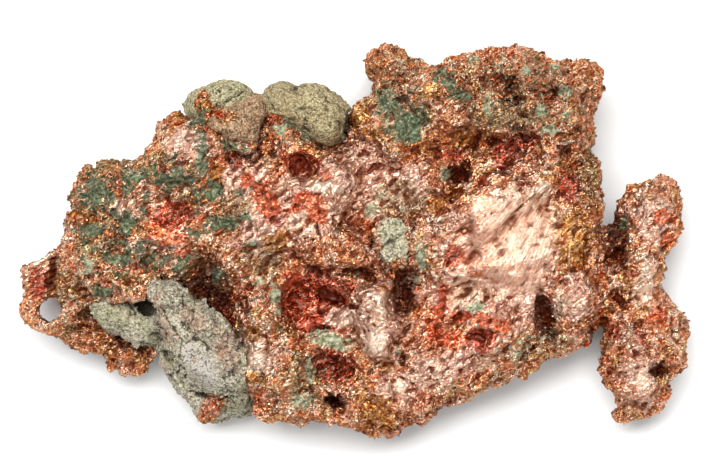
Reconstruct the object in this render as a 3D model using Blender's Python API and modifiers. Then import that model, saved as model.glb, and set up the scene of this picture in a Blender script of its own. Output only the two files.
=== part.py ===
"""A native copper nugget that still holds five stones of its matrix rock.

Everything is in metres with +Z up: the nugget lies on z = 0, its length runs along X and its
origin is the middle of its box on the ground. The tables below are in millimetres.

The copper is one solid. Rounded slabs give its outline, lumps give its heights, cutters give
its hollows, and a voxel remesh melts them into one skin, which is then roughened, thinned to
facets and cut flat where the knobs under it are worn. The stones are solids of their own, and
each sits in a pocket of the copper with a small gap round it.
"""

import math

import bmesh
import bpy
from mathutils import Matrix, Vector, noise

MM = 0.001
NUGGET = "native_copper_nugget"         # the collection of the pieces
CUTTERS = "cutters"                     # the collection of what cuts them

# ---------------------------------------------------------------- driving dimensions, in mm
BODY_LOW, BODY_HIGH = 2.5, 20.5         # the main slab, before its lumps
BODY_EDGE = 7.0                         # how far its rim is rounded
FLOOR_LOW, FLOOR_HIGH = 1.0, 9.0        # the thin shelf of copper under the stones
FLOOR_EDGE = 2.5
LOBE_LOW, LOBE_HIGH = 5.0, 18.0         # the lobe on the right is thinner
LOBE_EDGE = 3.5
STRAP_LOW, STRAP_HIGH = 9.5, 14.0       # the flat strap on the left stands clear of the ground
STRAP_EDGE = 1.2

COPPER_VOXEL = 1.0                      # grid of the remesh that melts the shapes together
STONE_VOXEL = 0.9
COPPER_FACETS = 5500
POCKET_GAP = 0.45                       # pushed along bent corners this leaves about 0.3 mm
GROUND_BOX = (200.0, 120.0, 60.0)       # the box that cuts the underside flat at z = 0
BREAK_BOX = 40.0                        # a cube whose underside breaks a flat face on the block
WELD_DISTANCE = 0.01                    # closes the caps of a slab
BALL_SUBDIVISIONS = 3                   # how finely each lump starts

# ---------------------------------------------------------------- outlines, seen from above
BODY_OUTLINE = [
    (-60.0, -2.5), (-57.2, 2.0), (-56.4, 7.5), (-54.8, 12.0), (-52.4, 15.4), (-49.0, 16.0),
    (-45.8, 15.4), (-42.4, 17.8), (-39.6, 22.2), (-36.6, 25.2), (-32.5, 26.0), (-29.0, 25.6),
    (-28.4, 21.0), (-24.6, 20.0), (-23.0, 17.6), (-20.0, 18.0), (-18.6, 24.4), (-13.0, 25.4),
    (-8.4, 23.6), (-6.4, 20.6), (-2.0, 20.2), (-1.2, 27.2), (1.6, 27.8), (4.0, 29.6),
    (4.9, 33.2), (2.6, 34.8), (3.2, 37.4), (6.8, 39.0), (9.8, 37.4), (11.5, 36.4),
    (14.5, 35.9), (17.6, 34.2), (18.4, 36.6), (22.2, 37.0), (25.5, 37.9), (29.5, 37.6),
    (33.0, 38.2), (37.6, 37.4), (40.0, 36.0), (43.4, 36.7), (46.0, 34.5), (48.1, 32.8),
    (48.6, 29.0), (46.4, 25.2), (46.6, 20.5), (46.8, 17.4), (45.8, 15.4), (47.6, 12.5),
    (48.8, 8.5), (48.0, 4.5), (48.4, 0.5), (51.6, -3.0), (52.5, -9.0), (51.0, -14.5),
    (48.2, -17.4), (43.4, -22.2), (38.7, -23.2), (34.7, -25.4), (31.8, -27.6), (28.0, -28.1),
    (26.0, -29.8), (22.5, -31.7), (18.2, -31.8), (15.8, -33.6), (12.8, -36.6), (9.8, -36.0),
    (7.4, -38.4), (4.6, -37.7), (2.0, -38.8), (-1.4, -37.0), (-8.0, -36.0), (-14.0, -36.4),
    (-19.6, -36.0), (-20.4, -31.2), (-22.2, -26.5), (-22.4, -20.5), (-23.6, -18.2),
    (-27.0, -11.0), (-33.6, -8.4), (-40.5, -8.6), (-45.0, -10.8), (-51.0, -12.4),
    (-56.5, -13.0), (-59.6, -11.5), (-60.2, -7.0),
]
FLOOR_OUTLINE = [
    (-58.0, -6.0), (-54.0, 9.0), (-46.0, 13.5), (-38.0, 20.0), (-31.0, 26.5), (-22.0, 28.0),
    (-12.0, 28.0), (-3.0, 26.0), (2.0, 18.0), (0.0, -10.0), (-14.0, -31.5), (-22.0, -33.0),
    (-29.0, -31.5), (-34.5, -27.5), (-37.5, -21.5), (-45.0, -16.0), (-55.0, -14.5),
]
LOBE_OUTLINE = [
    (46.0, -3.0), (51.2, -1.6), (51.6, 4.6), (53.6, 7.2), (54.8, 10.2), (58.0, 10.7),
    (61.4, 12.5), (64.0, 12.1), (65.1, 7.4), (66.2, 3.7), (64.0, 0.4), (61.8, -4.0),
    (61.6, -8.0), (61.2, -11.4), (63.6, -12.8), (66.3, -16.2), (67.3, -20.0), (66.2, -24.0),
    (64.4, -27.1), (62.0, -28.9), (61.0, -31.0), (56.0, -32.4), (51.4, -30.4), (50.6, -27.5),
    (49.9, -24.4), (50.5, -21.0), (50.0, -16.4), (46.0, -14.0),
]
STRAP_OUTLINE = [
    (-67.2, -5.4), (-63.6, -2.9), (-60.8, -1.4), (-56.0, -1.0), (-54.0, -10.0), (-56.5, -18.0),
    (-60.0, -18.2), (-62.4, -18.6), (-65.4, -16.8), (-67.6, -13.9), (-66.5, -11.8),
    (-66.5, -8.0),
]
BLOCK_OUTLINE = [
    (-52.6, -15.0), (-51.0, -11.0), (-46.0, -8.0), (-40.0, -6.4), (-35.4, -7.8), (-33.0, -12.0),
    (-30.0, -14.2), (-27.4, -15.8), (-24.6, -18.6), (-23.4, -22.0), (-23.0, -26.5),
    (-20.6, -31.2), (-19.2, -34.2), (-22.4, -35.0), (-26.0, -35.4), (-29.8, -33.6),
    (-33.4, -31.7), (-36.4, -28.6), (-38.8, -24.0), (-40.8, -20.2), (-46.0, -17.6),
    (-50.0, -17.2),
]

# ---------------------------------------------------------------- lumps of the copper
# (name, (x, y, z) of the middle, (x, y, z) half sizes, degrees turned about the vertical)
TOP_LUMPS = [
    ("horn_root", (8.0, 31.5, 15.0), (5.0, 6.5, 7.0), 0),
    ("horn_tip", (5.6, 36.2, 15.5), (3.4, 2.6, 4.0), 15),
    ("dome", (14.4, 30.4, 19.5), (4.6, 3.8, 6.5), -15),
    ("knob_north_a", (23.5, 33.0, 19.5), (6.4, 5.4, 9.0), 10),
    ("knob_north_b", (33.0, 33.6, 20.5), (6.8, 5.0, 9.6), -5),
    ("knob_north_c", (43.5, 31.5, 19.0), (5.4, 5.4, 8.6), 0),
    ("knob_north_d", (29.0, 25.5, 22.0), (8.6, 4.4, 8.0), 8),
    ("knob_north_e", (40.5, 22.5, 21.0), (6.6, 6.4, 8.6), 0),
    ("knob_north_f", (20.0, 26.0, 19.5), (5.6, 5.2, 8.0), 0),
    ("knob_east", (45.0, 9.0, 17.0), (4.6, 8.0, 7.4), 0),
    ("saddle", (9.0, 20.5, 17.5), (8.0, 6.0, 7.6), 0),
    ("gold_boss", (1.2, 24.6, 16.5), (3.4, 3.6, 7.0), 0),
    ("sheet_crest", (31.0, 9.5, 18.0), (15.0, 6.0, 10.4), 32),
    ("sheet", (33.0, -2.0, 15.5), (16.0, 12.0, 10.6), 20),
    ("sheet_foot", (44.0, -10.0, 14.0), (7.0, 9.0, 8.0), 0),
    ("sheet_tail", (27.0, -16.5, 16.0), (10.0, 6.0, 8.0), -8),
    ("fold_a", (23.6, 8.6, 24.5), (8.0, 1.5, 3.4), 46),
    ("fold_b", (29.0, 4.6, 24.6), (9.5, 1.6, 3.2), 38),
    ("fold_c", (31.0, -4.0, 24.0), (11.0, 1.6, 3.0), 16),
    ("fold_d", (43.6, -9.0, 19.5), (1.5, 7.4, 3.8), 8),
    ("fold_e", (42.4, 6.0, 21.5), (1.5, 7.0, 4.0), -18),
    ("middle_ridge", (16.5, 0.5, 18.5), (6.0, 12.0, 8.2), 14),
    ("pink_knob", (4.6, -14.5, 19.0), (5.0, 9.5, 10.4), 6),
    ("brow", (-3.0, -1.5, 19.5), (9.5, 5.4, 8.4), -14),
    ("crown", (-6.5, 9.0, 18.5), (9.4, 7.0, 8.4), 20),
    ("shoulder", (-18.0, 3.5, 18.0), (9.0, 8.0, 8.4), 0),
    ("west_crest", (-33.0, 17.0, 17.5), (10.0, 6.0, 8.6), 20),
    ("west_knob_a", (-48.5, 8.5, 16.5), (7.4, 7.0, 8.0), 0),
    ("west_knob_b", (-51.5, -4.5, 15.5), (7.4, 6.4, 8.4), -10),
    ("west_ledge", (-45.0, -8.2, 19.0), (9.0, 4.2, 5.4), 4),
    ("west_lip", (-49.0, -10.6, 17.6), (6.4, 1.9, 2.6), -6),
    ("west_rim", (-56.8, -8.0, 12.5), (3.4, 5.4, 6.4), 0),
    ("bridge", (-24.0, -3.0, 18.0), (6.4, 5.6, 7.4), 0),
    ("flank", (-17.5, -14.0, 17.5), (5.0, 8.4, 7.4), 12),
    ("south_knob_a", (-15.5, -25.5, 16.5), (7.4, 7.0, 8.0), 0),
    ("south_knob_b", (3.0, -30.5, 14.0), (8.4, 6.0, 8.6), 8),
    ("south_knob_c", (14.5, -24.5, 16.0), (8.0, 6.0, 8.0), 0),
    ("south_rim", (-8.0, -31.6, 12.5), (8.0, 3.6, 5.4), 0),
    ("copper_on_stone", (-30.2, 27.0, 19.0), (1.9, 2.6, 4.6), 10),
]
LOBE_LUMPS = [
    ("lobe_head", (60.5, 6.0, 13.5), (5.0, 6.4, 6.6), 8),
    ("lobe_waist", (57.6, -6.5, 14.0), (4.4, 7.6, 6.0), 4),
    ("lobe_belly", (60.5, -19.0, 13.0), (6.4, 7.0, 7.2), 0),
    ("lobe_hip", (54.2, -27.0, 12.0), (4.0, 4.6, 5.6), 0),
    ("lobe_neck", (52.6, -11.0, 12.5), (4.4, 5.0, 6.4), 0),
    ("tip_left", (53.8, -34.4, 8.0), (3.4, 2.2, 3.0), 18),
    ("tip_middle", (57.4, -32.4, 9.0), (4.6, 2.3, 3.6), -10),
    ("tip_drop", (59.6, -33.8, 8.5), (1.7, 2.3, 2.8), 0),
    ("tip_right", (62.4, -31.8, 9.0), (1.9, 3.2, 3.0), 18),
    ("spike", (50.2, 1.2, 12.0), (1.0, 2.4, 2.2), 0),
]
ARM_LUMPS = [
    ("arm_root", (-57.2, -17.2, 10.0), (3.0, 2.6, 4.2), 0),
    ("arm_wedge", (-56.0, -20.0, 8.5), (3.0, 2.4, 3.6), -20),
    ("arm_middle", (-51.2, -20.2, 8.5), (4.8, 3.8, 4.6), -30),
    ("arm_end", (-47.4, -23.0, 7.5), (4.6, 3.9, 4.8), -20),
    ("arm_thumb", (-44.2, -23.2, 8.0), (2.8, 3.4, 4.2), 0),
    ("arm_stem", (-44.5, -19.4, 5.5), (6.0, 3.4, 3.8), -30),
    ("edge_knob", (-56.2, 9.8, 12.0), (1.6, 1.1, 1.6), 0),
    ("spur", (-28.3, -33.9, 6.5), (1.9, 2.7, 3.6), 15),
]
RIM_LUMPS = [
    ("rim_olive_bump", (-50.2, 14.4, 14.0), (4.0, 2.4, 4.0), 18),
    ("rim_north_west", (-42.8, 16.6, 11.0), (3.2, 2.2, 3.2), 30),
    ("rim_west", (-57.0, 4.0, 10.0), (1.9, 3.2, 3.0), 0),
    ("rim_south_a", (-14.0, -35.0, 8.0), (5.4, 2.2, 3.2), 0),
    ("rim_south_b", (-5.0, -34.8, 14.0), (4.0, 2.4, 2.8), 0),
    ("rim_south_c", (7.0, -35.8, 9.0), (3.0, 2.4, 3.2), 0),
    ("rim_south_d", (17.5, -30.5, 7.6), (4.2, 2.6, 3.0), 14),
    ("rim_south_e", (26.0, -27.2, 13.4), (3.2, 2.8, 2.8), 20),
    ("rim_south_f", (34.4, -23.2, 7.4), (4.0, 2.6, 3.0), 24),
    ("rim_south_g", (43.0, -19.4, 13.0), (3.2, 2.4, 3.0), 35),
    ("rim_east_a", (46.4, 20.0, 8.6), (1.6, 4.0, 3.2), 0),
    ("rim_east_b", (46.0, 28.4, 16.4), (2.2, 3.2, 3.0), 0),
    ("rim_north_a", (39.4, 34.2, 8.4), (4.0, 2.2, 3.0), 0),
    ("rim_north_b", (30.0, 35.8, 11.0), (5.0, 2.0, 3.2), 0),
    ("rim_north_c", (20.4, 35.6, 14.6), (3.0, 2.2, 3.0), 0),
    ("rim_lobe_a", (65.2, -18.0, 10.0), (2.2, 3.4, 3.2), 0),
    ("rim_lobe_b", (64.0, 6.4, 10.0), (1.8, 3.0, 3.0), 0),
]
UNDER_LUMPS = [
    ("foot_west", (-44.0, 3.0, 5.5), (9.0, 7.4, 6.6), 12),
    ("foot_south_west", (-30.0, -20.0, 4.0), (8.0, 7.0, 5.0), 0),
    ("foot_north_west", (-20.0, 17.0, 5.5), (10.0, 6.0, 6.6), -10),
    ("foot_south", (2.0, -24.0, 5.0), (9.0, 8.0, 6.4), 0),
    ("foot_north", (26.0, 26.0, 5.5), (11.0, 7.0, 6.8), 6),
    ("foot_east", (38.0, -6.0, 5.0), (9.0, 8.0, 6.4), 0),
    ("belly", (4.0, 4.0, 6.5), (13.0, 9.0, 6.0), 20),
    ("lobe_foot", (58.5, -14.0, 5.5), (4.6, 6.0, 6.0), 0),
]

# ---------------------------------------------------------------- hollows cut into the copper
HOLLOWS = [
    ("cavern_head", (-30.4, -8.4, 22.0), (3.0, 3.6, 14.0), 0),
    ("cavern_tail", (-27.4, -13.2, 20.0), (3.2, 4.4, 12.5), -35),
    ("red_hollow_west", (-11.0, -11.6, 26.0), (4.4, 6.4, 11.0), 0),
    ("red_hollow_east", (-5.2, -13.0, 26.0), (6.0, 5.0, 10.4), -25),
    ("brow_gap", (0.6, -6.4, 27.0), (5.0, 2.0, 8.0), -8),
    ("slot", (9.9, -10.2, 26.0), (2.7, 6.8, 13.0), 0),
    ("slot_foot", (9.6, -24.0, 25.0), (1.6, 2.8, 6.0), -15),
    ("lower_hollow", (-4.6, -24.8, 24.0), (5.0, 3.2, 9.0), 0),
    ("lower_pit", (-3.8, -32.4, 18.0), (3.4, 2.3, 7.4), 0),
    ("lacquer_trough", (-37.2, 4.4, 27.0), (6.4, 5.6, 9.6), 20),
    ("lacquer_spill", (-38.6, -3.2, 26.0), (7.4, 3.8, 8.0), 10),
    ("crown_hollow", (-11.2, 15.6, 27.0), (5.4, 3.8, 9.4), 0),
    ("valley", (18.4, 17.6, 28.0), (6.6, 3.4, 9.4), 12),
    ("eye", (20.6, 13.8, 26.0), (3.2, 2.4, 11.0), 30),
    ("north_pit_a", (31.4, 28.8, 30.0), (4.2, 2.1, 7.0), 8),
    ("north_pit_b", (40.2, 29.6, 28.5), (2.8, 2.8, 7.6), 0),
    ("north_pit_c", (27.8, 20.6, 28.5), (3.2, 2.0, 7.0), 30),
    ("north_pit_d", (41.6, 18.4, 28.0), (2.2, 2.8, 6.4), 0),
    ("north_pit_e", (33.2, 17.6, 28.5), (2.6, 2.0, 6.4), 0),
    ("west_pit_a", (-35.0, 15.4, 27.5), (2.2, 1.9, 6.0), -30),
    ("west_pit_b", (-25.6, 10.0, 27.0), (1.4, 2.4, 6.0), 0),
    ("brow_pit", (-7.2, 1.6, 28.5), (1.9, 2.0, 7.0), -30),
    ("gold_pit", (-16.4, 17.2, 25.0), (1.8, 2.0, 6.0), 0),
    ("horn_crease", (10.0, 28.6, 24.0), (1.3, 3.0, 5.0), 0),
    ("stone_gap", (-1.7, 24.0, 22.0), (0.9, 4.0, 8.0), 0),
    ("sheet_slot", (38.4, -15.6, 24.0), (2.2, 6.2, 11.0), 16),
    ("lacquer_pan", (24.5, -18.8, 26.0), (5.2, 3.0, 5.0), 0),
    ("fringe_hole", (29.6, -23.3, 15.0), (1.1, 1.7, 20.0), -20),
    ("lobe_shadow_a", (52.9, 3.0, 20.0), (2.4, 4.8, 8.6), 0),
    ("lobe_shadow_b", (51.6, -3.6, 19.0), (2.6, 3.6, 8.0), -20),
    ("lobe_slot", (52.8, -11.0, 20.0), (1.2, 2.6, 7.0), 20),
    ("lobe_pit", (61.2, -25.4, 20.0), (2.3, 2.6, 7.0), 0),
    ("junction_notch", (49.6, -19.0, 12.0), (1.3, 3.0, 12.0), 0),
    ("lobe_nick", (64.6, -28.4, 12.0), (2.4, 1.2, 9.0), 0),
    ("strap_gap", (-60.6, -7.0, 18.0), (1.5, 5.0, 8.2), 0),
    ("strap_hole", (-60.5, -13.8, 12.0), (3.3, 2.8, 10.0), 25),
    ("west_notch", (-50.2, -6.6, 25.0), (1.6, 1.2, 4.0), 0),
    ("under_hollow_a", (-14.0, -8.0, -1.0), (8.0, 6.0, 5.0), 20),
    ("under_hollow_b", (16.0, 10.0, -2.0), (7.0, 6.0, 6.4), -15),
    ("under_hollow_c", (14.0, -13.0, -1.5), (5.0, 6.0, 5.4), 0),
    ("under_hollow_d", (-32.0, 10.0, -1.0), (4.0, 5.0, 5.0), 0),
    ("under_hollow_e", (44.0, 14.0, 0.0), (5.0, 7.0, 5.0), 0),
]

# ---------------------------------------------------------------- the stones
PEBBLES = [
    # (name, facets, rock, [(middle, half sizes, turn), ...])
    ("matrix_pebble_top_left", 240, "olive_rock", [
        ((-30.2, 27.4, 13.0), (5.2, 3.2, 7.8), 24),
        ((-25.2, 28.6, 13.5), (4.8, 3.4, 8.2), -14)]),
    ("matrix_pebble_top_middle", 260, "brown_rock", [
        ((-24.0, 23.8, 16.5), (5.0, 4.4, 8.6), 0),
        ((-22.0, 20.4, 16.0), (2.8, 3.4, 7.8), 0),
        ((-26.2, 22.6, 15.5), (2.8, 2.8, 8.0), 0),
        ((-20.6, 26.0, 15.0), (3.2, 3.2, 7.6), 0)]),
    ("matrix_pebble_top_right", 300, "olive_rock", [
        ((-13.4, 27.4, 14.0), (5.4, 3.8, 8.0), 0),
        ((-8.4, 26.6, 14.5), (5.4, 4.6, 8.4), -10),
        ((-5.4, 24.0, 14.5), (4.2, 4.8, 8.8), 0)]),
    ("matrix_chip_centre", 120, "pale_rock", [
        ((6.9, 0.6, 23.0), (3.0, 3.8, 4.6), -14),
        ((8.4, -2.0, 22.4), (2.2, 2.9, 4.2), 0)]),
]
BLOCK_LOW, BLOCK_HIGH = 3.5, 14.0
BLOCK_EDGE = 2.0
BLOCK_FACETS = 800
BLOCK_LUMPS = [
    ((-36.6, -14.0, 15.5), (3.6, 8.0, 10.0), 28),
    ((-31.0, -21.0, 15.0), (6.6, 8.0, 9.6), 34),
    ((-26.6, -25.0, 13.6), (4.8, 7.4, 9.0), 10),
    ((-47.0, -14.6, 11.5), (6.0, 3.7, 6.6), -4),
    ((-42.4, -16.0, 12.0), (4.6, 4.2, 6.8), 20),
]
BLOCK_FACES = [
    # (point on the broken face, direction that faces out of the stone)
    ((-29.5, -24.0, 22.4), (0.14, -0.16, 1.0)),
    ((-33.0, -13.2, 23.2), (0.30, 0.34, 1.0)),
    ((-29.0, -31.0, 14.0), (-0.20, -0.94, 0.50)),
]
BLOCK_STEP = ((-25.6, -33.0, 9.0), (6.4, 2.6, 5.0), 4)
BLOCK_CRACK = ((-28.5, -30.6, 14.5), (5.4, 0.7, 5.0), -8)

# colour (linear), roughness, metallic
FINISHES = {
    "native_copper": ((0.47, 0.17, 0.09), 0.38, 1.0),
    "grey_rock": ((0.42, 0.42, 0.32), 0.9, 0.0),
    "olive_rock": ((0.33, 0.33, 0.21), 0.9, 0.0),
    "brown_rock": ((0.43, 0.30, 0.21), 0.9, 0.0),
    "pale_rock": ((0.52, 0.55, 0.42), 0.9, 0.0),
}


# ---------------------------------------------------------------- helpers
def clear_scene():
    """Remove every object, so that the script gives the same model wherever it is run."""
    for thing in list(bpy.data.objects):
        bpy.data.objects.remove(thing, do_unlink=True)


def new_collection(name):
    """A collection of the scene, made if it isn't there yet."""
    group = bpy.data.collections.get(name) or bpy.data.collections.new(name)
    if name not in bpy.context.scene.collection.children:
        bpy.context.scene.collection.children.link(group)
    return group


def finish(name):
    """The Principled material for one finish."""
    colour, roughness, metallic = FINISHES[name]
    material = bpy.data.materials.get(name) or bpy.data.materials.new(name)
    material.use_nodes = True
    shader = material.node_tree.nodes["Principled BSDF"]
    shader.inputs["Base Color"].default_value = (*colour, 1.0)
    shader.inputs["Roughness"].default_value = roughness
    shader.inputs["Metallic"].default_value = metallic
    material.diffuse_color = (*colour, 1.0)
    return material


def place(mesh, name, group):
    """An object that shows a mesh, in a collection. A cutter shows as wire and isn't rendered."""
    thing = bpy.data.objects.new(name, mesh)
    group.objects.link(thing)
    if group.name == CUTTERS:
        thing.hide_render = True
        thing.display_type = "WIRE"
    return thing


def bake(thing):
    """Take the object's modifiers into its mesh."""
    bpy.context.view_layer.update()
    seen = thing.evaluated_get(bpy.context.evaluated_depsgraph_get())
    mesh = bpy.data.meshes.new_from_object(seen)
    thing.modifiers.clear()
    thing.data = mesh


def slab(name, outline, low, high, edge):
    """A flat outline given thickness and a rounded rim, as a mesh."""
    curve = bpy.data.curves.new(name, "CURVE")
    curve.dimensions = "2D"
    curve.fill_mode = "BOTH"
    curve.resolution_u = 3
    spline = curve.splines.new("BEZIER")
    spline.bezier_points.add(len(outline) - 1)
    for knot, (x, y) in zip(spline.bezier_points, outline):
        knot.co = (x * MM, y * MM, 0.0)
        knot.handle_left_type = "AUTO"
        knot.handle_right_type = "AUTO"
    spline.use_cyclic_u = True
    curve.extrude = ((high - low) / 2 - edge) * MM
    curve.bevel_depth = edge * MM
    curve.bevel_resolution = 2
    curve.offset = -edge * MM
    thing = bpy.data.objects.new(name, curve)
    thing.location.z = (low + high) / 2 * MM
    bpy.context.scene.collection.objects.link(thing)
    bpy.context.view_layer.update()
    seen = thing.evaluated_get(bpy.context.evaluated_depsgraph_get())
    mesh = bpy.data.meshes.new_from_object(seen)
    mesh.transform(thing.matrix_world)
    bpy.data.objects.remove(thing)
    welded = bmesh.new()
    welded.from_mesh(mesh)
    bmesh.ops.remove_doubles(welded, verts=welded.verts, dist=WELD_DISTANCE * MM)
    welded.to_mesh(mesh)
    welded.free()
    return mesh


def lump_matrix(middle, half, turn):
    """Where a unit ball goes to become a lump."""
    spot = Matrix.Translation(Vector(middle) * MM)
    spin = Matrix.Rotation(math.radians(turn), 4, "Z")
    size = Matrix.Diagonal((*(Vector(half) * MM), 1.0))
    return spot @ spin @ size


def heap(name, lumps, meshes, group):
    """Lumps and meshes together in one object, still overlapping."""
    pile = bmesh.new()
    for middle, half, turn in lumps:
        bmesh.ops.create_icosphere(pile, subdivisions=BALL_SUBDIVISIONS, radius=1.0,
                                   matrix=lump_matrix(middle, half, turn))
    for mesh in meshes:
        pile.from_mesh(mesh)
    joined = bpy.data.meshes.new(name)
    pile.to_mesh(joined)
    pile.free()
    return place(joined, name, group)


def melt(thing, voxel, smoothing):
    """Fuse everything in the object into one skin and take the edge off it."""
    skin = thing.modifiers.new("skin", "REMESH")
    skin.mode = "VOXEL"
    skin.voxel_size = voxel * MM
    if smoothing:
        soft = thing.modifiers.new("soft", "SMOOTH")
        soft.factor = 0.5
        soft.iterations = smoothing
    bake(thing)


def cut(thing, cutter, operation="DIFFERENCE"):
    """Cut one object with another, then drop the cutter."""
    tool = thing.modifiers.new("cut", "BOOLEAN")
    tool.operation = operation
    tool.object = cutter
    bake(thing)
    bpy.data.objects.remove(cutter)


def thin(thing, facets):
    """Bring the object down to about this many triangles."""
    thing.data.calc_loop_triangles()
    fewer = thing.modifiers.new("fewer", "DECIMATE")
    fewer.ratio = min(1.0, facets / len(thing.data.loop_triangles))
    bake(thing)


def keep_largest(thing):
    """Drop crumbs that a cut has left loose."""
    body = bmesh.new()
    body.from_mesh(thing.data)
    islands, seen = [], set()
    for start in body.verts:
        if start in seen:
            continue
        island, front = {start}, [start]
        while front:
            for edge in front.pop().link_edges:
                for vert in edge.verts:
                    if vert not in island:
                        island.add(vert)
                        front.append(vert)
        seen |= island
        islands.append(island)
    largest = max(islands, key=len)
    crumbs = [vert for island in islands if island is not largest for vert in island]
    bmesh.ops.delete(body, geom=crumbs, context="VERTS")
    body.to_mesh(thing.data)
    body.free()


def roughen(thing, push):
    """Move every point along its normal by push(point in mm, normal), in mm."""
    body = bmesh.new()
    body.from_mesh(thing.data)
    body.normal_update()
    moves = [vert.normal * push(vert.co / MM, vert.normal) * MM for vert in body.verts]
    for vert, move in zip(body.verts, moves):
        vert.co += move
    body.to_mesh(thing.data)
    body.free()


# ---------------------------------------------------------------- surfaces
SHEET_MIDDLE, SHEET_HALF = (33.0, -1.0), (17.0, 14.0)
STRAP_EAST = -57.0                      # west of this the copper is thin
SKIN_DRAW = 0.4                         # drawn in again, so the knobs end at the outline


def sheet_share(point):
    """1 in the middle of the smooth sheet on the right, 0 outside it."""
    across = (point.x - SHEET_MIDDLE[0]) / SHEET_HALF[0]
    along = (point.y - SHEET_MIDDLE[1]) / SHEET_HALF[1]
    inside = 1.0 - math.hypot(across, along)
    return min(1.0, max(0.0, inside * 2.5)) if point.z > 14.0 else 0.0


def strap_share(point):
    """1 on the thin strap in the west, fading to 0 where the body starts."""
    return min(1.0, max(0.0, (STRAP_EAST - point.x) / 3.0))


def hackly(point, normal):
    """Rough torn metal: broad swells, sharp crests, rounded knobs and small teeth."""
    swell = noise.noise(point / 13.0) * 2.0
    crests = 0.30 - abs(noise.noise(point / 8.0 + Vector((3.0, 9.0, 5.0))))
    knobs = 0.50 - noise.voronoi(point / 5.4)[0][0]
    teeth = noise.noise(point / 2.6 + Vector((7.0, 3.0, 1.0)))
    calm = (1.0 - 0.70 * sheet_share(point)) * (1.0 - 0.75 * strap_share(point))
    reach = 0.6 + 0.4 * abs(normal.z)
    return (swell + crests * 3.6 + knobs * 2.6 + teeth * 0.9) * calm * reach - SKIN_DRAW * calm


def weathered(point, normal):
    """Worn rock: shallow swells and a sandy grain."""
    return noise.noise(point / 7.0) * 0.9 + noise.noise(point / 2.4) * 0.35


# ---------------------------------------------------------------- the pieces
def pebble(name, facets, lumps, group):
    """A worn stone made of a few overlapping lumps."""
    stone = heap(name, lumps, [], group)
    melt(stone, STONE_VOXEL, 6)
    roughen(stone, weathered)
    thin(stone, facets)
    return stone


def face_cutter(point, outward, cutters):
    """A box whose underside lies on a broken face of the stone."""
    box = bmesh.new()
    bmesh.ops.create_cube(box, size=BREAK_BOX * MM)
    mesh = bpy.data.meshes.new("broken_face")
    turn = Vector(outward).to_track_quat("Z", "Y").to_matrix().to_4x4()
    lift = Matrix.Translation((0.0, 0.0, BREAK_BOX / 2 * MM))
    box.transform(Matrix.Translation(Vector(point) * MM) @ turn @ lift)
    box.to_mesh(mesh)
    box.free()
    return place(mesh, "broken_face", cutters)


def block(name, group, cutters):
    """The large stone: a thick slab with a ridge, broken faces, a low step and a crack."""
    base = slab(name, BLOCK_OUTLINE, BLOCK_LOW, BLOCK_HIGH, BLOCK_EDGE)
    stone = heap(name, BLOCK_LUMPS, [base], group)
    melt(stone, STONE_VOXEL, 3)
    for point, outward in BLOCK_FACES:
        cut(stone, face_cutter(point, outward, cutters))
    step = heap("step", [BLOCK_STEP], [], cutters)
    cut(stone, step, "UNION")
    cut(stone, heap("crack", [BLOCK_CRACK], [], cutters))
    melt(stone, STONE_VOXEL, 1)
    roughen(stone, weathered)
    thin(stone, BLOCK_FACETS)
    keep_largest(stone)
    return stone


def swollen(stone, cutters):
    """A copy of a stone, larger by the gap, that cuts its pocket."""
    copy = place(stone.data.copy(), "pocket", cutters)
    roughen(copy, lambda point, normal: POCKET_GAP)
    return copy


def copper(group, cutters):
    """The copper before the stones are set in it."""
    slabs = [
        slab("body", BODY_OUTLINE, BODY_LOW, BODY_HIGH, BODY_EDGE),
        slab("shelf", FLOOR_OUTLINE, FLOOR_LOW, FLOOR_HIGH, FLOOR_EDGE),
        slab("lobe", LOBE_OUTLINE, LOBE_LOW, LOBE_HIGH, LOBE_EDGE),
        slab("strap", STRAP_OUTLINE, STRAP_LOW, STRAP_HIGH, STRAP_EDGE),
    ]
    lumps = [row[1:] for row in TOP_LUMPS + LOBE_LUMPS + ARM_LUMPS + RIM_LUMPS + UNDER_LUMPS]
    mass = heap("copper_mass", lumps, slabs, group)
    melt(mass, COPPER_VOXEL, 2)
    hollows = heap("hollows", [row[1:] for row in HOLLOWS], [], cutters)
    melt(hollows, COPPER_VOXEL, 0)
    cut(mass, hollows)
    melt(mass, COPPER_VOXEL, 2)
    roughen(mass, hackly)
    melt(mass, COPPER_VOXEL, 0)
    keep_largest(mass)
    return mass


def cut_flat(mass, cutters):
    """Wear the lowest knobs flat at z = 0, so that the nugget rests on them."""
    box = bmesh.new()
    bmesh.ops.create_cube(box, size=1.0)
    size = Matrix.Diagonal((*(Vector(GROUND_BOX) * MM), 1.0))
    box.transform(Matrix.Translation((0.0, 0.0, -GROUND_BOX[2] / 2 * MM)) @ size)
    mesh = bpy.data.meshes.new("ground")
    box.to_mesh(mesh)
    box.free()
    cut(mass, place(mesh, "ground", cutters))


def stand_on_origin(things):
    """Bring the middle of the whole box over the origin and its lowest point to z = 0."""
    corners = [vert.co for thing in things for vert in thing.data.vertices]
    low = Vector(min(co[axis] for co in corners) for axis in range(3))
    high = Vector(max(co[axis] for co in corners) for axis in range(3))
    shift = Vector((-(low.x + high.x) / 2, -(low.y + high.y) / 2, -low.z))
    for thing in things:
        thing.data.transform(Matrix.Translation(shift))
    print("shift in mm:", [round(value / MM, 3) for value in shift])
    print("size in mm:", [round(value / MM, 2) for value in high - low])


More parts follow.
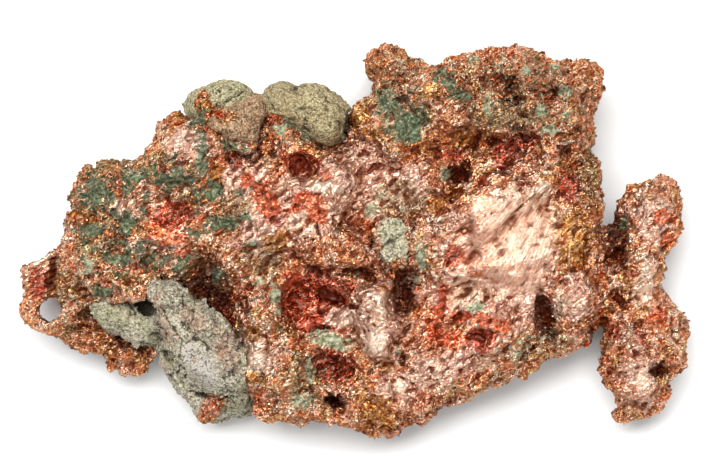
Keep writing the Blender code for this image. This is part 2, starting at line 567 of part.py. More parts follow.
def build():
    """Make the nugget."""
    clear_scene()
    group = new_collection(NUGGET)
    cutters = new_collection(CUTTERS)
    stones = {block("matrix_block_lower_left", group, cutters): "grey_rock"}
    for name, facets, rock, lumps in PEBBLES:
        stone = pebble(name, facets, lumps, group)
        for earlier in stones:
            cut(stone, swollen(earlier, cutters))
        keep_largest(stone)
        stones[stone] = rock
    mass = copper(group, cutters)
    thin(mass, COPPER_FACETS)
    cut_flat(mass, cutters)
    for stone in stones:
        cut(mass, swollen(stone, cutters))
    keep_largest(mass)
    for thing, name in {mass: "native_copper", **stones}.items():
        thing.data.materials.clear()
        thing.data.materials.append(finish(name))
    stand_on_origin([mass, *stones])


build()
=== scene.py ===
# %% [markdown]
# # A native copper nugget
# Native copper grows in cracks and hollows of rock as torn, knobbly metal. This nugget still
# holds five stones, and its skin is a patchwork: bare pink copper, red and gold oxide films,
# and green malachite where water has been at work.
# The imported model gives the sizes and the places. Here each of its solids is copied, given a
# far finer skin, strewn with small crystals, and painted with materials built from noise and
# from listed patches. All tables are in millimetres, in the model's frame.

# %% Load the imported model
import math

import bpy
import numpy as np
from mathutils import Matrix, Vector, noise


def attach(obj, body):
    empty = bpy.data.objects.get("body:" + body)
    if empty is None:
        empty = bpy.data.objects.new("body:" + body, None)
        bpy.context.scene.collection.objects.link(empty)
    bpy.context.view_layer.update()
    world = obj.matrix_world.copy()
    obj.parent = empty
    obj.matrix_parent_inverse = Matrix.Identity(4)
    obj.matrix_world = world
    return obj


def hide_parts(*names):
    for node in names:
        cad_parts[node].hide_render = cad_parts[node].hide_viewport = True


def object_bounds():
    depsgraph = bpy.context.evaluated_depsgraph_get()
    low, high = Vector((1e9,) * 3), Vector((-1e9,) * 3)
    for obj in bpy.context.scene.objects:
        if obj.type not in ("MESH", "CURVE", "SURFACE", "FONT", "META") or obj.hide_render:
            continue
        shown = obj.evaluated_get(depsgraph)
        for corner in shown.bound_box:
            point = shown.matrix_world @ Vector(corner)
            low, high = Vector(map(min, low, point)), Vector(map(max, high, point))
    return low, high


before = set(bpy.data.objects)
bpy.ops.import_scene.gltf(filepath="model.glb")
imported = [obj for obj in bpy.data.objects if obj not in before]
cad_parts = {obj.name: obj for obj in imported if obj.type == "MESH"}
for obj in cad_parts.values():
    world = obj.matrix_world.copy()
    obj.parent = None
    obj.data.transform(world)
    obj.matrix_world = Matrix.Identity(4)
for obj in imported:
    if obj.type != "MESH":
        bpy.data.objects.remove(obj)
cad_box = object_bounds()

MM = 0.001
print("nodes:", sorted(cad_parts))
print("box of the model in mm:", [[round(v / MM, 1) for v in corner] for corner in cad_box])

# %% [markdown]
# ## Camera, floor and light
# The nugget lies flat and is seen from straight above through a long lens, so its outline is
# true. Bare metal only shows what it mirrors, so the light matters as much as the material: a
# soft lamp behind the nugget makes the white glints, a wide pale ceiling gives the metal its
# own colour wherever it faces up, and the sky is dim, so that hollows and the ground close to
# the nugget stay dark.

# %% Colours
def linear(hex_colour):
    """An sRGB hex colour as the linear RGBA that Blender's sockets want."""
    parts = [int(hex_colour[i:i + 2], 16) / 255 for i in (1, 3, 5)]
    return (*(c / 12.92 if c <= 0.04045 else ((c + 0.055) / 1.055) ** 2.4 for c in parts), 1)


# %% A new object in the scene
def placed(name, data):
    """Put a new object with this data in the scene."""
    thing = bpy.data.objects.new(name, data)
    bpy.context.scene.collection.objects.link(thing)
    return thing


# %% The material in work, and its nodes
def start_material(name):
    """Start a material, which later nodes go in, and return its shader."""
    global material
    material = bpy.data.materials.new(name)
    material.use_nodes = True
    return material.node_tree.nodes["Principled BSDF"]


def wire(made, **inputs):
    """Set a node's inputs: each to a plain value, or to another node's output."""
    for key, value in inputs.items():
        name = key.replace("_", " ")
        socket = made.inputs[int(name[1:])] if name[1:].isdigit() else made.inputs[name]
        if isinstance(value, bpy.types.NodeSocket):
            material.node_tree.links.new(value, socket)
        else:
            socket.default_value = value


def node(kind, settings=None, **inputs):
    """Add a node to the material in work."""
    made = material.node_tree.nodes.new("ShaderNode" + kind)
    for key, value in (settings or {}).items():
        setattr(made, key, value)
    wire(made, **inputs)
    return made


# %% Camera
VIEW_CENTRE = (0.05, 1.01)  # the point of the ground under the lens, in mm
VIEW_WIDTH = 141.6          # what the frame takes in across the middle height
CAMERA_HEIGHT = 1400.0
MIDDLE_HEIGHT = 14.0

lens = bpy.data.cameras.new("long_lens")
lens.sensor_width = 36.0
lens.lens = lens.sensor_width * (CAMERA_HEIGHT - MIDDLE_HEIGHT) / VIEW_WIDTH
lens.clip_end = 20.0
camera = placed("camera", lens)
camera.location = Vector((*VIEW_CENTRE, CAMERA_HEIGHT)) * MM
bpy.context.scene.camera = camera
print("lens of", round(lens.lens), "mm")

# %% Floor
FLOOR_SIZE = 6.0  # metres

bpy.ops.mesh.primitive_plane_add(size=FLOOR_SIZE)
floor = bpy.context.object
floor.name = "floor"
wire(start_material("white_board"), Base_Color=linear("#F6F6F5"), Roughness=0.9,
     Specular_IOR_Level=0.2)
floor.data.materials.append(material)

# %% Lamps and sky
LAMPS = [
    # (name, place in mm, width and depth in mm, watts)
    ("softbox_behind", (-200, 620, 1900), (2000, 900), 52),
    ("pale_ceiling", (0, 250, 2300), (3400, 3400), 32),
    ("front_fill", (500, -1500, 1100), (900, 600), 4),
]
SKY_COLOUR, SKY_STRENGTH = "#FFFFFF", 0.27

for name, place, size, watts in LAMPS:
    lamp = bpy.data.lights.new(name, "AREA")
    lamp.shape = "RECTANGLE"
    lamp.size = size[0] * MM
    lamp.size_y = size[1] * MM
    lamp.energy = watts
    holder = placed(name, lamp)
    holder.location = Vector(place) * MM
    holder.rotation_euler = (-holder.location).to_track_quat("-Z", "Y").to_euler()

world = bpy.data.worlds.new("studio")
world.use_nodes = True
wire(world.node_tree.nodes["Background"], Color=linear(SKY_COLOUR), Strength=SKY_STRENGTH)
bpy.context.scene.world = world
bpy.context.scene.view_settings.view_transform = "Standard"
print(len(LAMPS), "lamps")

# %% [markdown]
# ## A fine skin for the copper
# Real torn metal has relief at every size: folds of a few millimetres, broken faces and knobs
# of one or two, and a crystalline grain below that. One could sculpt it by hand or use
# displacement textures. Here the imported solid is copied, its facets are melted by a voxel
# remesh and some smoothing, and its points are moved in code, once for the folds and once more
# on a finer remesh for the broken faces. That way the same functions and tables make the
# relief, the smooth places and, later, the masks of the materials.

# %% Points and normals as arrays
def read(items, key, width, kind=np.float32):
    """The property `key` of many items, as an array with `width` numbers in a row."""
    flat = np.empty(len(items) * width, kind)
    items.foreach_get(key, flat)
    return flat.reshape(-1, width)


def get_points(mesh):
    """Every point of the mesh, in mm."""
    return read(mesh.vertices, "co", 3).astype(float) / MM


def set_points(mesh, points):
    """Put the points, in mm, back in the mesh."""
    mesh.vertices.foreach_set("co", (points * MM).astype(np.float32).ravel())
    mesh.update()


def get_normals(mesh):
    """The normal at every point."""
    return read(mesh.vertex_normals, "vector", 3).astype(float)


def get_corners(mesh):
    """The three points of every triangle."""
    mesh.calc_loop_triangles()
    return read(mesh.loop_triangles, "vertices", 3, np.int32)


# %% Noise of several kinds
SEED_STEP = np.array([1, 0.37, 0.71])  # which way a seed shifts the noise
RUN = math.radians(35)                 # the way the torn metal mostly runs, from above


def sampled(points, size, seed, measure):
    """A noise function of mathutils at every point, with cells of about `size` mm."""
    where = points / size + seed * SEED_STEP
    return np.array([measure(p) for p in where.tolist()])


def swell(points, size, seed=0):
    """Smooth noise between about -1 and 1."""
    return sampled(points, size, seed, noise.noise)


def crest(points, size, seed=0):
    """Sharp branching ridges: 1 on a ridge, falling to about -1 between ridges."""
    return 1 - 4 * np.abs(swell(points, size, seed))


def knob(points, size, seed=0):
    """Round knobs: up to 1 at the middle of a knob."""
    return 1 - 2 * sampled(points, size, seed, lambda p: noise.voronoi(p)[0][0])


def crumple(points, size, seed=0):
    """Crumpled foil: flat little planes between sharp folds, from about -1 to 1."""
    return sampled(points, size, seed,
                   lambda p: noise.ridged_multi_fractal(p, 0.8, 2.1, 4, 0.9, 1.8)) - 1.0


def chipped(points, size, seed=0):
    """Broken faces: each cell is a flat face with a tilt of its own, from about -1 to 1."""
    centres = sampled(points, size, seed, lambda p: tuple(noise.voronoi(p)[1][0]))
    tilt = np.sin(centres * (12.9, 78.2, 37.7) + 1)
    return 1.6 * ((points / size + seed * SEED_STEP - centres) * tilt).sum(axis=1)


def turned(points, angle, x=0, y=0):
    """How far each point lies from (x, y) along a direction and across it, from above."""
    dx, dy = points[:, 0] - x, points[:, 1] - y
    return (dx * math.cos(angle) + dy * math.sin(angle),
            dy * math.cos(angle) - dx * math.sin(angle))


def streaked(points, stretch):
    """Coordinates that draw a noise out along the way the torn metal runs."""
    along, across = turned(points, RUN)
    return np.stack([along / stretch, across, points[:, 2]], axis=1)


# %% Patches seen from above
def patch(points, x, y, half_x, half_y, turn=0):
    """1 at the middle of an ellipse seen from above, 0 on its edge, negative outside it."""
    along, across = turned(points, math.radians(turn), x, y)
    return 1 - np.hypot(along / half_x, across / half_y)


def nearest_patch(points, rows):
    """The largest patch value at each point: positive inside a patch."""
    best = np.full(len(points), -1.0)
    for row in rows:
        best = np.maximum(best, patch(points, *row))
    return best


def soft(values, low, high):
    """0 below low, 1 above high, and a smooth rise between."""
    t = np.clip((values - low) / (high - low), 0, 1)
    return t * t * (3 - 2 * t)


# %% Smoothing along the edges of a mesh
def edge_ends(mesh):
    """The two ends of every edge."""
    return read(mesh.edges, "vertices", 2, np.int32).T


def averaged(points, ends, share):
    """Move each point by this share of the way to the mean of its neighbours."""
    a, b = ends
    size = len(points)
    count = np.bincount(a, minlength=size) + np.bincount(b, minlength=size)
    total = [np.bincount(a, axis[b], size) + np.bincount(b, axis[a], size) for axis in points.T]
    return points + share * (np.stack(total, axis=1) / count[:, None] - points)


def ironed(thing, rounds):
    """Smooth away facets. Each step in is followed by a step out, so thin parts stay thick."""
    ends = edge_ends(thing.data)
    points = get_points(thing.data)
    for _ in range(rounds):
        points = averaged(averaged(points, ends, 0.6), ends, -0.62)
    set_points(thing.data, points)


# %% Modifiers taken into the mesh
def baked(thing):
    """Replace the object's mesh with what its modifiers make."""
    bpy.context.view_layer.update()
    seen = thing.evaluated_get(bpy.context.evaluated_depsgraph_get())
    mesh = bpy.data.meshes.new_from_object(seen)
    thing.modifiers.clear()
    thing.data = mesh


def remeshed(thing, voxel):
    """A new even skin of squares of about `voxel` mm."""
    skin = thing.modifiers.new("skin", "REMESH")
    skin.mode = "VOXEL"
    skin.voxel_size = voxel * MM
    baked(thing)


def thinned(thing, triangles, given_up=None):
    """Bring the object down to about this many triangles, if asked only at some points."""
    thing.data.calc_loop_triangles()
    before = len(thing.data.loop_triangles)
    thing.modifiers.new("triangles", "TRIANGULATE")
    fewer = thing.modifiers.new("fewer", "DECIMATE")
    fewer.ratio = min(1, triangles / before)
    if given_up is not None:
        group = thing.vertex_groups.new(name="given_up")
        group.add(np.flatnonzero(given_up).tolist(), 1, "REPLACE")
        fewer.vertex_group = group.name
    baked(thing)
    thing.vertex_groups.clear()
    print(thing.name, "has", len(thing.data.polygons), "faces, from", before)


def fine_copy(cad_name, name):
    """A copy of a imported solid, free to be changed."""
    thing = placed(name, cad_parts[cad_name].data.copy())
    thing.data.materials.clear()
    return thing


# %% Where the copper is smooth
# Each row is an ellipse seen from above: (x, y, half x, half y) and, if it has one, its turn.
SHEET = (30.8, -0.8, 12.8, 12.4, 20)
CALM_SHARE = 0.6  # how smooth the calm places are
CALM_PLACES = [
    (25, 12, 8, 4, 40),        # the sheet's crest
    (-36.5, 5, 6.5, 4.4, 20),  # lacquered trough in the west
    (-37, 0.8, 5, 2.6, 10),    # and where it spills over
    (-10.6, 15.8, 5, 3.4),     # hollow at the crown
    (-7.5, -12.5, 9, 7, -15),  # large red hollow
    (-7.8, 6, 3.4, 3),         # orange pool
    (24, -18.5, 6.6, 3.6),     # lacquered pan
    (58.2, -9, 2, 4.2),        # panel on the lobe
    (18.8, -10.5, 1.6, 5), (-11.8, -9.5, 2, 3.4), (0.6, 24.8, 2, 2.6), (15.5, 29.8, 2.2, 1.4),
    (43.5, 1, 4, 5),
]
# Places of painted highlight: the copper is coloured near white there, and it is calm as well.
PAINTED_HIGHLIGHTS = [
    (-45, 7.2, 2.7, 1.5), (-33, 21, 1.4, 1), (-29.5, 0.7, 1.6, 0.8), (-23.2, -18.8, 0.9, 1.4),
    (-20, -23, 2.3, 3.2), (-17, -26, 1.1, 1.1), (-14.2, 10.8, 0.9, 1.4), (-11.2, 3.5, 1.9, 2.6),
    (-6.8, 10.8, 2.4, 1.4), (-2.5, -15.2, 3.6, 1.9), (8.8, -29, 1.9, 1.6), (23.5, -9.2, 3.6, 1.9),
    (34, 3.5, 6.6, 8.4, -15), (37.5, 9, 2.8, 3.2), (41, -12.5, 1.1, 3.6), (57.8, -8.8, 2, 4.6, -8),
    (57.5, -27.8, 1.7, 2.4), (-62.8, -4.2, 2, 1, 20), (21.8, -8, 4, 1.6, -10),
    (22, -12.2, 3.2, 1.1, 5), (-3, 10, 1.6, 1.2), (5.5, -12, 2.2, 2.6), (4, -20, 2.6, 2.6),
    (-8, 2, 2, 1, 20), (62.2, 7.2, 1.8, 0.5, 10), (-40, -0.5, 1.4, 0.8), (-19, 13, 1.2, 1),
]


def smoothness(points):
    """1 on the smooth sheet, less on calm places and under the painted highlights, 0 on the torn
    metal.
    """
    wander = 0.25 * swell(points, 3, 5)
    smooth = soft(patch(points, *SHEET) + wander, 0, 0.35)
    calm = soft(nearest_patch(points, CALM_PLACES + PAINTED_HIGHLIGHTS) + wander, 0, 0.35)
    return np.maximum(smooth, CALM_SHARE * calm) * soft(points[:, 2], 9, 12)


def strap_share(points):
    """1 on the thin strap in the west, 0 on the body."""
    return soft(-points[:, 0], 57.5, 60.5)


# %% Where the copper is knobbly
KNOBBLY_PLACES = [
    (33, 30, 19, 10),        # north mass
    (8, 34, 6, 7),           # horn
    (-51, 4, 9, 14),         # west end
    (-51, -20, 10, 7, -30),  # arm
    (58, -26, 12, 10),       # end of the lobe
    (8, -33, 34, 6, 8),      # south edge
    (38, -22, 14, 5, 25),    # south-east edge
    (47, 16, 3.5, 12),       # east edge
]


def knobbliness(points):
    """1 where the copper has grown in knobs, 0 where it is only crumpled."""
    return soft(nearest_patch(points, KNOBBLY_PLACES), -0.15, 0.35)


# %% Listed patches
GREEN = [
    (-51, 10.2, 3.4, 3), (-43, 12.8, 3.4, 1.1, 10), (-45.8, 3.2, 2, 2.6), (-53, 2.2, 3.2, 1.5),
    (-45.8, -4, 1.5, 1.3), (-49, -3, 1, 0.9), (-50, -10, 2, 1.3), (-31, 24.2, 2.1, 2),
    (-30.2, 18, 0.9, 5.2), (-35.5, 12.5, 4.6, 1.7, 10), (-28, 10, 2.3, 2.4), (-26, 3.5, 3.4, 1.7),
    (-21.2, 5, 1, 1.2), (-22.5, 9.8, 0.8, 1), (-25, 19, 1.8, 0.9), (-27, -6.5, 1.3, 1.8),
    (-9, 22, 1.4, 2.6, -10), (6.8, 27.8, 2, 2), (11.2, 22.5, 3.2, 3), (19, 31.5, 1.3, 1.8),
    (21.5, 29, 1.8, 1.3), (17, 33, 1.3, 1.3), (54.5, 3.5, 0.7, 1.2), (-12.4, 23.6, 2, 1),
]
PALE_GREEN = [
    (-53, -5, 1.4, 1.4), (-14.6, 22.2, 1.6, 1.4), (-22, 18, 2.2, 0.5), (3.5, 6.2, 1.2, 1.5),
    (5.2, 8.6, 0.9, 0.8), (9.5, 6.2, 0.7, 0.9), (13.5, -3, 1.3, 2.4), (12.8, -7.5, 0.9, 0.7),
    (-4.5, -19.8, 4.4, 1.8, -8), (-8.8, -25.5, 0.9, 2.8), (-10, -31.5, 2.2, 1.8),
    (-15.5, -11, 0.9, 3.4, 10), (8.8, -22, 0.9, 1.1), (24, -13.2, 2.2, 0.9),
    (19.5, -28.2, 0.7, 0.9), (33, -22.2, 0.7, 0.8), (32.5, -20, 0.7, 0.5), (23.5, 36, 1.2, 1.1),
    (28.8, 34.2, 0.9, 0.9), (34, 33.2, 1.3, 1), (40, 34.8, 1.3, 1), (42.2, 29.5, 1.5, 1.2),
    (37.2, 26.2, 1.5, 1.4), (39, 22.2, 1.3, 1.5), (42.2, 25, 0.9, 1.1), (26.5, 27, 0.8, 2.2),
    (18, 13.6, 1, 1.4), (-46, 1.8, 0.9, 1), (-20, -0.5, 1.6, 0.8), (-19, -8, 1.2, 1),
]
OLIVE = [
    (-58.4, -8.2, 1.6, 4.6), (-50, 15.6, 4.6, 2, 18), (-55, -9, 3.4, 3), (-52, -1, 4, 2.6),
    (-48, 7, 2, 3), (-40, 14.5, 5, 2, 10), (-33, 9, 3, 3), (-24, 6.5, 4, 3.4), (-19, -3.5, 5, 3),
    (-14, -14, 2.4, 5), (10, 24, 5, 4), (30, 25, 8, 3), (9, 8, 6, 4), (-10, -28, 4, 6),
    (-57.5, -17, 1.6, 1.6), (47, 14, 2.4, 6), (36, -21, 6, 2.4, 20), (-53, -13, 3, 1.2),
]
RED = [
    (-36, 5.2, 5.4, 2.6, 12), (-42.5, -4.5, 1.7, 1.6), (-38, 14.5, 1.1, 0.9), (-34, 14, 1, 0.9),
    (-23.2, 15.8, 0.9, 1.9), (-10.5, 15.6, 3.8, 2.3), (-15.2, 6, 0.9, 2.2), (-11.8, -10, 1.8, 3.2),
    (-7.5, -12, 7.4, 6.6, -15), (-4.2, -24.8, 4.4, 2.8, -10), (20, -3, 2.2, 2.2),
    (17.8, -11, 0.9, 3), (25, -19.4, 4.4, 2.2), (29.8, 17, 2.1, 3), (33.5, 20, 3.4, 1.6),
    (43, 11, 2.4, 2.6), (57.2, -18.8, 0.9, 1.4), (51.8, -18.2, 1.3, 1.4), (-26, -14, 1.8, 3.4, 20),
    (19.5, 17, 3, 1.2), (34, 10.6, 1.8, 1), (-62.8, -8.4, 1.8, 3.2),
]
ORANGE = [
    (-36.5, 1, 3.6, 1.6), (-16, 24.5, 2.8, 1.4), (-7.8, 6, 2.8, 2.6), (16.5, -14, 1.6, 1.7),
    (24.5, -6.5, 1.6, 0.8), (25, 11.8, 1.1, 1.6, -35), (61, -14.5, 2.1, 1.6),
    (-11.8, -8.6, 1.3, 1.7), (29.5, -17.4, 1.7, 0.9), (30.6, 37, 1.2, 0.8), (-40, 3, 1.6, 1.1),
    (-5.5, 12.6, 1.6, 1, 40), (-26, 25, 2, 0.7, -20), (-21, 12, 1.4, 1.6), (-33, -2.6, 3, 1.2),
    (16, -18, 2.2, 2.6), (-12, 6.6, 1.2, 2.4), (-24, -11, 1.6, 1.2), (27, -16, 3.6, 1.4, -10),
    (19.6, -19.6, 2.6, 2.2), (62, 4.8, 2.4, 1.7), (62.6, 0.2, 1.2, 1.8), (-9, 7.2, 3.4, 3),
    (-17.6, 7.6, 2.6, 4, 20), (21.5, -15, 2.6, 1.2, 10),
]
GOLD = [
    (-35.2, 25, 1.4, 1.1), (-30.2, 27.5, 1.4, 2.1), (-55, 6, 1.1, 1.1), (-52, 4, 1.2, 0.8),
    (-45.2, -7.5, 1, 0.7), (-8.2, 13.8, 1.4, 1.4), (-15, 0.2, 3.2, 2.4, 20), (0.6, 24.8, 2.2, 2.9),
    (4, 21.8, 1.7, 1.4), (15.5, 29.8, 2.6, 1.5), (16.5, 7.5, 1.7, 1.7), (41, 12.4, 3.2, 1.6),
    (43.8, 0.5, 4, 6.4), (5, -34.5, 4.2, 3.6), (36.2, -23, 1.4, 0.7), (22, 20, 3, 2),
    (-27, 13, 1.6, 2.6), (-20.5, -27, 3.6, 1.6), (19, 9, 3.2, 1.2, 30), (-47, -7, 2.4, 1),
    (-20, -19, 1.2, 2),
]
PINK = [
    (28, -11.5, 14, 7, -8), (-20, -22, 5, 6), (-2.5, -15, 4.4, 3), (18, -25, 13, 3.6, 20),
    (4.8, -16.8, 5.8, 9, 12), (44, -11.5, 3.4, 5.8), (-33.5, 19, 4.8, 3.4), (28, 2, 10, 7, 25),
    (-8, 9, 9, 7), (60, 4, 4, 6), (2, 14, 8, 6), (-17, 3, 8, 7), (57, -27, 4, 6),
    (8, 10, 9, 5, 20), (-22, 12, 5, 6), (20, -10, 6, 6), (-38, -2, 6, 3), (8, -30, 5, 3),
    (-12, 9, 6, 4),
]
BROWN = [
    (33, 29.5, 18, 9), (8, 34, 5.5, 6), (-52, -20, 10, 7, -30), (-50, 15, 5, 2.6, 18),
    (18, 18, 9, 4), (-56.5, 9.6, 1.4, 1.2), (46, 14, 3, 10), (-59, -4, 1.4, 3.4),
]
# Hollows: each is carved into the copper and also coloured dark, a painted shade.
SHADED_HOLLOWS = [
    (-30, -9.5, 3, 4), (-27.6, -13.2, 2.4, 4.6, -35), (-8.1, -5.8, 2, 1.2),
    (-5, -11, 3.2, 1.1, -30), (-0.2, -13, 1.4, 1.1), (-6.5, -17.4, 3, 1.1),
    (2.5, -6.4, 3, 1.5, -10), (9.8, -10.2, 2.1, 6), (9.5, -24, 1.1, 2.2),
    (-3.4, -32, 2.4, 1.6, -35), (38.2, -15, 1.9, 6.2, 16), (20.8, 13.4, 2.6, 1.9, 20),
    (-49, -6, 1.2, 0.8), (-35, 15.5, 1, 0.8), (-26.3, 10.5, 0.7, 1.6), (-7, 2, 0.7, 1.8),
    (-16.5, 17.5, 0.9, 0.9), (10.2, 28.5, 0.9, 1.3), (30, 32, 2.2, 1.2), (32, 28, 2.2, 0.9),
    (39.8, 30, 1.4, 1.1), (33.8, 25, 0.9, 0.7), (28, 20, 1.7, 0.9), (32.8, 18, 1.4, 0.8),
    (42.2, 18, 1.3, 1), (44.2, 22.5, 0.9, 0.8), (-1.8, 23.2, 0.7, 3.6), (52.6, 0.6, 1.9, 6.4, 12),
    (53, -12, 1, 2.2, 20), (61, -26, 1.5, 2), (50, -16.3, 1, 1), (24.2, -19, 1.8, 0.9),
    (-43.5, -20.5, 2.4, 2.6), (-60.4, -6.6, 0.7, 4.6, -8), (-24.6, 16.6, 0.6, 1.6),
]
PATCHES = {
    "green": GREEN, "pale_green": PALE_GREEN, "olive": OLIVE, "red": RED, "orange": ORANGE,
    "gold": GOLD, "painted_highlight": PAINTED_HIGHLIGHTS, "pink": PINK, "brown": BROWN, "dark": SHADED_HOLLOWS,
}
RAGGED = 0.9  # how far a patch's edge wanders, in mm


def wandered(points):
    """The points moved a little, so that the patches they fall in have ragged edges."""
    drift = np.stack([swell(points, 2.2, 20), swell(points, 2.2, 30),
                      np.zeros(len(points))], axis=1)
    return points + RAGGED * drift


# %% Folds of a few millimetres
FOLD_VOXEL = 0.7
STRAP_FATTENING = 0.35
FAN_CENTRE = (48, 26)                # the sheet's streaks spread from here
HOLLOW_DEPTH, PAN_DEPTH = 1.1, 0.25  # under the dark patches, and under the red films


def fan(points):
    """The sheet's own coordinates: across its streaks, and along them."""
    dx, dy = points[:, 0] - FAN_CENTRE[0], points[:, 1] - FAN_CENTRE[1]
    return np.arctan2(dy, dx), np.hypot(dx, dy)


def fold_relief(points):
    """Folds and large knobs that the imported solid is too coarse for, in mm."""
    strap = strap_share(points)
    smooth = smoothness(points)
    rough = (1 - 0.68 * smooth) * (1 - 0.8 * strap)
    knobbly = knobbliness(points)
    drawn = streaked(points, 1.9)
    folds = 0.64 * crumple(drawn, 5, 2) + 0.5 * chipped(drawn, 4.4, 11)
    knobs = (0.06 + 0.62 * knobbly) * knob(points, 2.9, 3)
    knobs += 0.75 * knobbly * knob(points, 5.6, 13)
    ragged = wandered(points)
    hollows = HOLLOW_DEPTH * soft(nearest_patch(ragged, SHADED_HOLLOWS), -0.1, 0.35)
    hollows += PAN_DEPTH * soft(nearest_patch(ragged, RED), -0.05, 0.3)
    hollows *= soft(points[:, 2], 8, 14)
    across, along = fan(points)
    pleats = np.stack([across * 16, along / 14, points[:, 2] / 20], axis=1)
    sheet = soft(patch(points, *SHEET), 0, 0.3) * smooth
    return (rough * (folds + knobs) + 0.28 * sheet * crest(pleats, 1, 4)
            + STRAP_FATTENING * strap - hollows)


# %% Broken faces and knobs of a millimetre or two
FACE_VOXEL = 0.36
RIB_SPACING, RIB_SLOPE = 1.25, 0.5     # the ribs across the strap
STRAP_PLATE = (-63.2, -6.6, 4.6, 6.2)  # the part of it that is a flat plate


def face_relief(points):
    """The hackly grain, and the streaks and ribs where the copper is smooth, in mm."""
    smooth = smoothness(points)
    strap = strap_share(points)
    knobbly = knobbliness(points)
    rough = (1 - 0.72 * smooth) * (1 - 0.6 * strap)
    drawn = streaked(points, 1.9)
    grain = 0.36 * chipped(drawn, 1.6, 6) + (0.04 + 0.14 * knobbly) * knob(points, 1.4, 9)
    grain += 0.22 * crest(drawn, 1.7, 8)
    across, along = fan(points)
    fibres = np.stack([across * 48, along / 9, points[:, 2] / 12], axis=1)
    sheet = soft(patch(points, *SHEET), 0, 0.4) * smooth
    rib = (points[:, 1] - RIB_SLOPE * points[:, 0]) / RIB_SPACING + 0.35 * swell(points, 2.5)
    ribs = 1 - 2 * np.abs(np.sin(math.pi * rib))
    plate = strap * soft(patch(points, *STRAP_PLATE), 0, 0.2)
    return rough * grain + 0.16 * sheet * swell(fibres, 1, 4) + 0.42 * plate * ribs


# %% Keep the skin inside the model's box and on the ground
def kept_in(points, margin=0.8):
    """Stop points at the model's box, but for a small margin, and at the ground."""
    low = np.array(cad_box[0]) / MM - margin
    high = np.array(cad_box[1]) / MM + margin
    low[2] = 0.0
    return np.clip(points, low, high)


def raised(thing, relief):
    """Move each point of the object along its normal by relief(points)."""
    points, normals = get_points(thing.data), get_normals(thing.data)
    set_points(thing.data, kept_in(points + normals * relief(points)[:, None]))


# %% Straight broken edges
def cut_back(points, corners, share=0.9):
    """Push back points outside of the edge from any corner to the next. Outside is left."""
    points = points.copy()
    for (x0, y0), (x1, y1) in zip(corners, corners[1:]):
        out = np.array([y0 - y1, x1 - x0]) / math.hypot(x1 - x0, y1 - y0)
        over = np.clip((points[:, :2] - (x0, y0)) @ out, 0, None)
        points[:, :2] -= share * over[:, None] * out
    return points


STRAP_EDGE = [(-67.4, -5.9), (-60, -2.3)]


def strap_cut(points):
    """Give the strap the straight upper edge of a bent plate."""
    return points + strap_share(points)[:, None] * (cut_back(points, STRAP_EDGE) - points)


# %% Make the copper
COPPER_TRIANGLES = 196000  # most of them are kept for the upper side
UNDERSIDE_SHARE = 0.35

copper = fine_copy("copper_mass", "copper_mass_skin")
remeshed(copper, FOLD_VOXEL)
ironed(copper, 8)
raised(copper, fold_relief)
set_points(copper.data, strap_cut(get_points(copper.data)))
remeshed(copper, FACE_VOXEL)
ironed(copper, 1)
raised(copper, face_relief)
under = get_normals(copper.data)[:, 2] < 0.1
print("copper skin has", len(under), "points,", int(under.sum()), "of them below")
everything = 2 * len(under)
thinned(copper, everything * (1 - (1 - UNDERSIDE_SHARE) * under.mean()), under)
thinned(copper, COPPER_TRIANGLES)
copper.data.shade_smooth()

# %% [markdown]
# ## Stones
# The stones are broken pieces of rock: granular, matt, pitted and cracked. They get the same
# treatment at their own scale. A few planes shave each one, as breaking does, then come
# chipped faces, nodules, a sandy grain and pits, and cracks along drawn lines. Copper
# grew tight against them, so each skin swells to close the gap that the model keeps there.

# %% Broken faces
def shaved(points, planes, share, seed):
    """Flatten the points that reach past each of some randomly turned planes."""
    turns = np.random.default_rng(seed).normal(size=(planes, 3))
    middle = points.mean(axis=0)
    for turn in turns / np.linalg.norm(turns, axis=1)[:, None]:
        reach = (points - middle) @ turn
        over = np.clip(reach - share * reach.max(), 0, None)
        points = points - 0.85 * over[:, None] * turn
    return points


# the chip's corners, clockwise from above, and the first one again
CHIP_CORNERS = [(4.3, 1.6), (6.2, 3.8), (8.8, 4.1), (10.6, 1.6), (10.7, -2), (9.6, -4.8),
                (7.6, -4.9), (5, -1.8), (4.3, 1.6)]
CHIP_TOP = 23.7  # height of its flat top, level with the copper


def cut_to_outline(points):
    """The chip's broken shape: straight sides, and a flat top that leans a little."""
    middle = points[:, :2].mean(axis=0)
    points = points.copy()
    points[:, :2] = middle + 1.2 * (points[:, :2] - middle)
    points = cut_back(points, CHIP_CORNERS)
    top = CHIP_TOP - 0.12 * (points[:, 0] - middle[0]) - 0.10 * (points[:, 1] - middle[1])
    points[:, 2] -= 0.88 * np.clip(points[:, 2] - top, 0, None)
    return points


def lined(points, lines, width):
    """1 on any of the lines (x, y, x, y) seen from above, falling to 0 at `width` from them."""
    nearest = np.full(len(points), 9.0)
    for x0, y0, x1, y1 in lines:
        dx, dy = x1 - x0, y1 - y0
        t = ((points[:, 0] - x0) * dx + (points[:, 1] - y0) * dy) / (dx * dx + dy * dy)
        t = np.clip(t, 0, 1)
        gap = np.hypot(points[:, 0] - x0 - t * dx, points[:, 1] - y0 - t * dy)
        nearest = np.minimum(nearest, gap)
    return 1 - soft(nearest, 0, width)


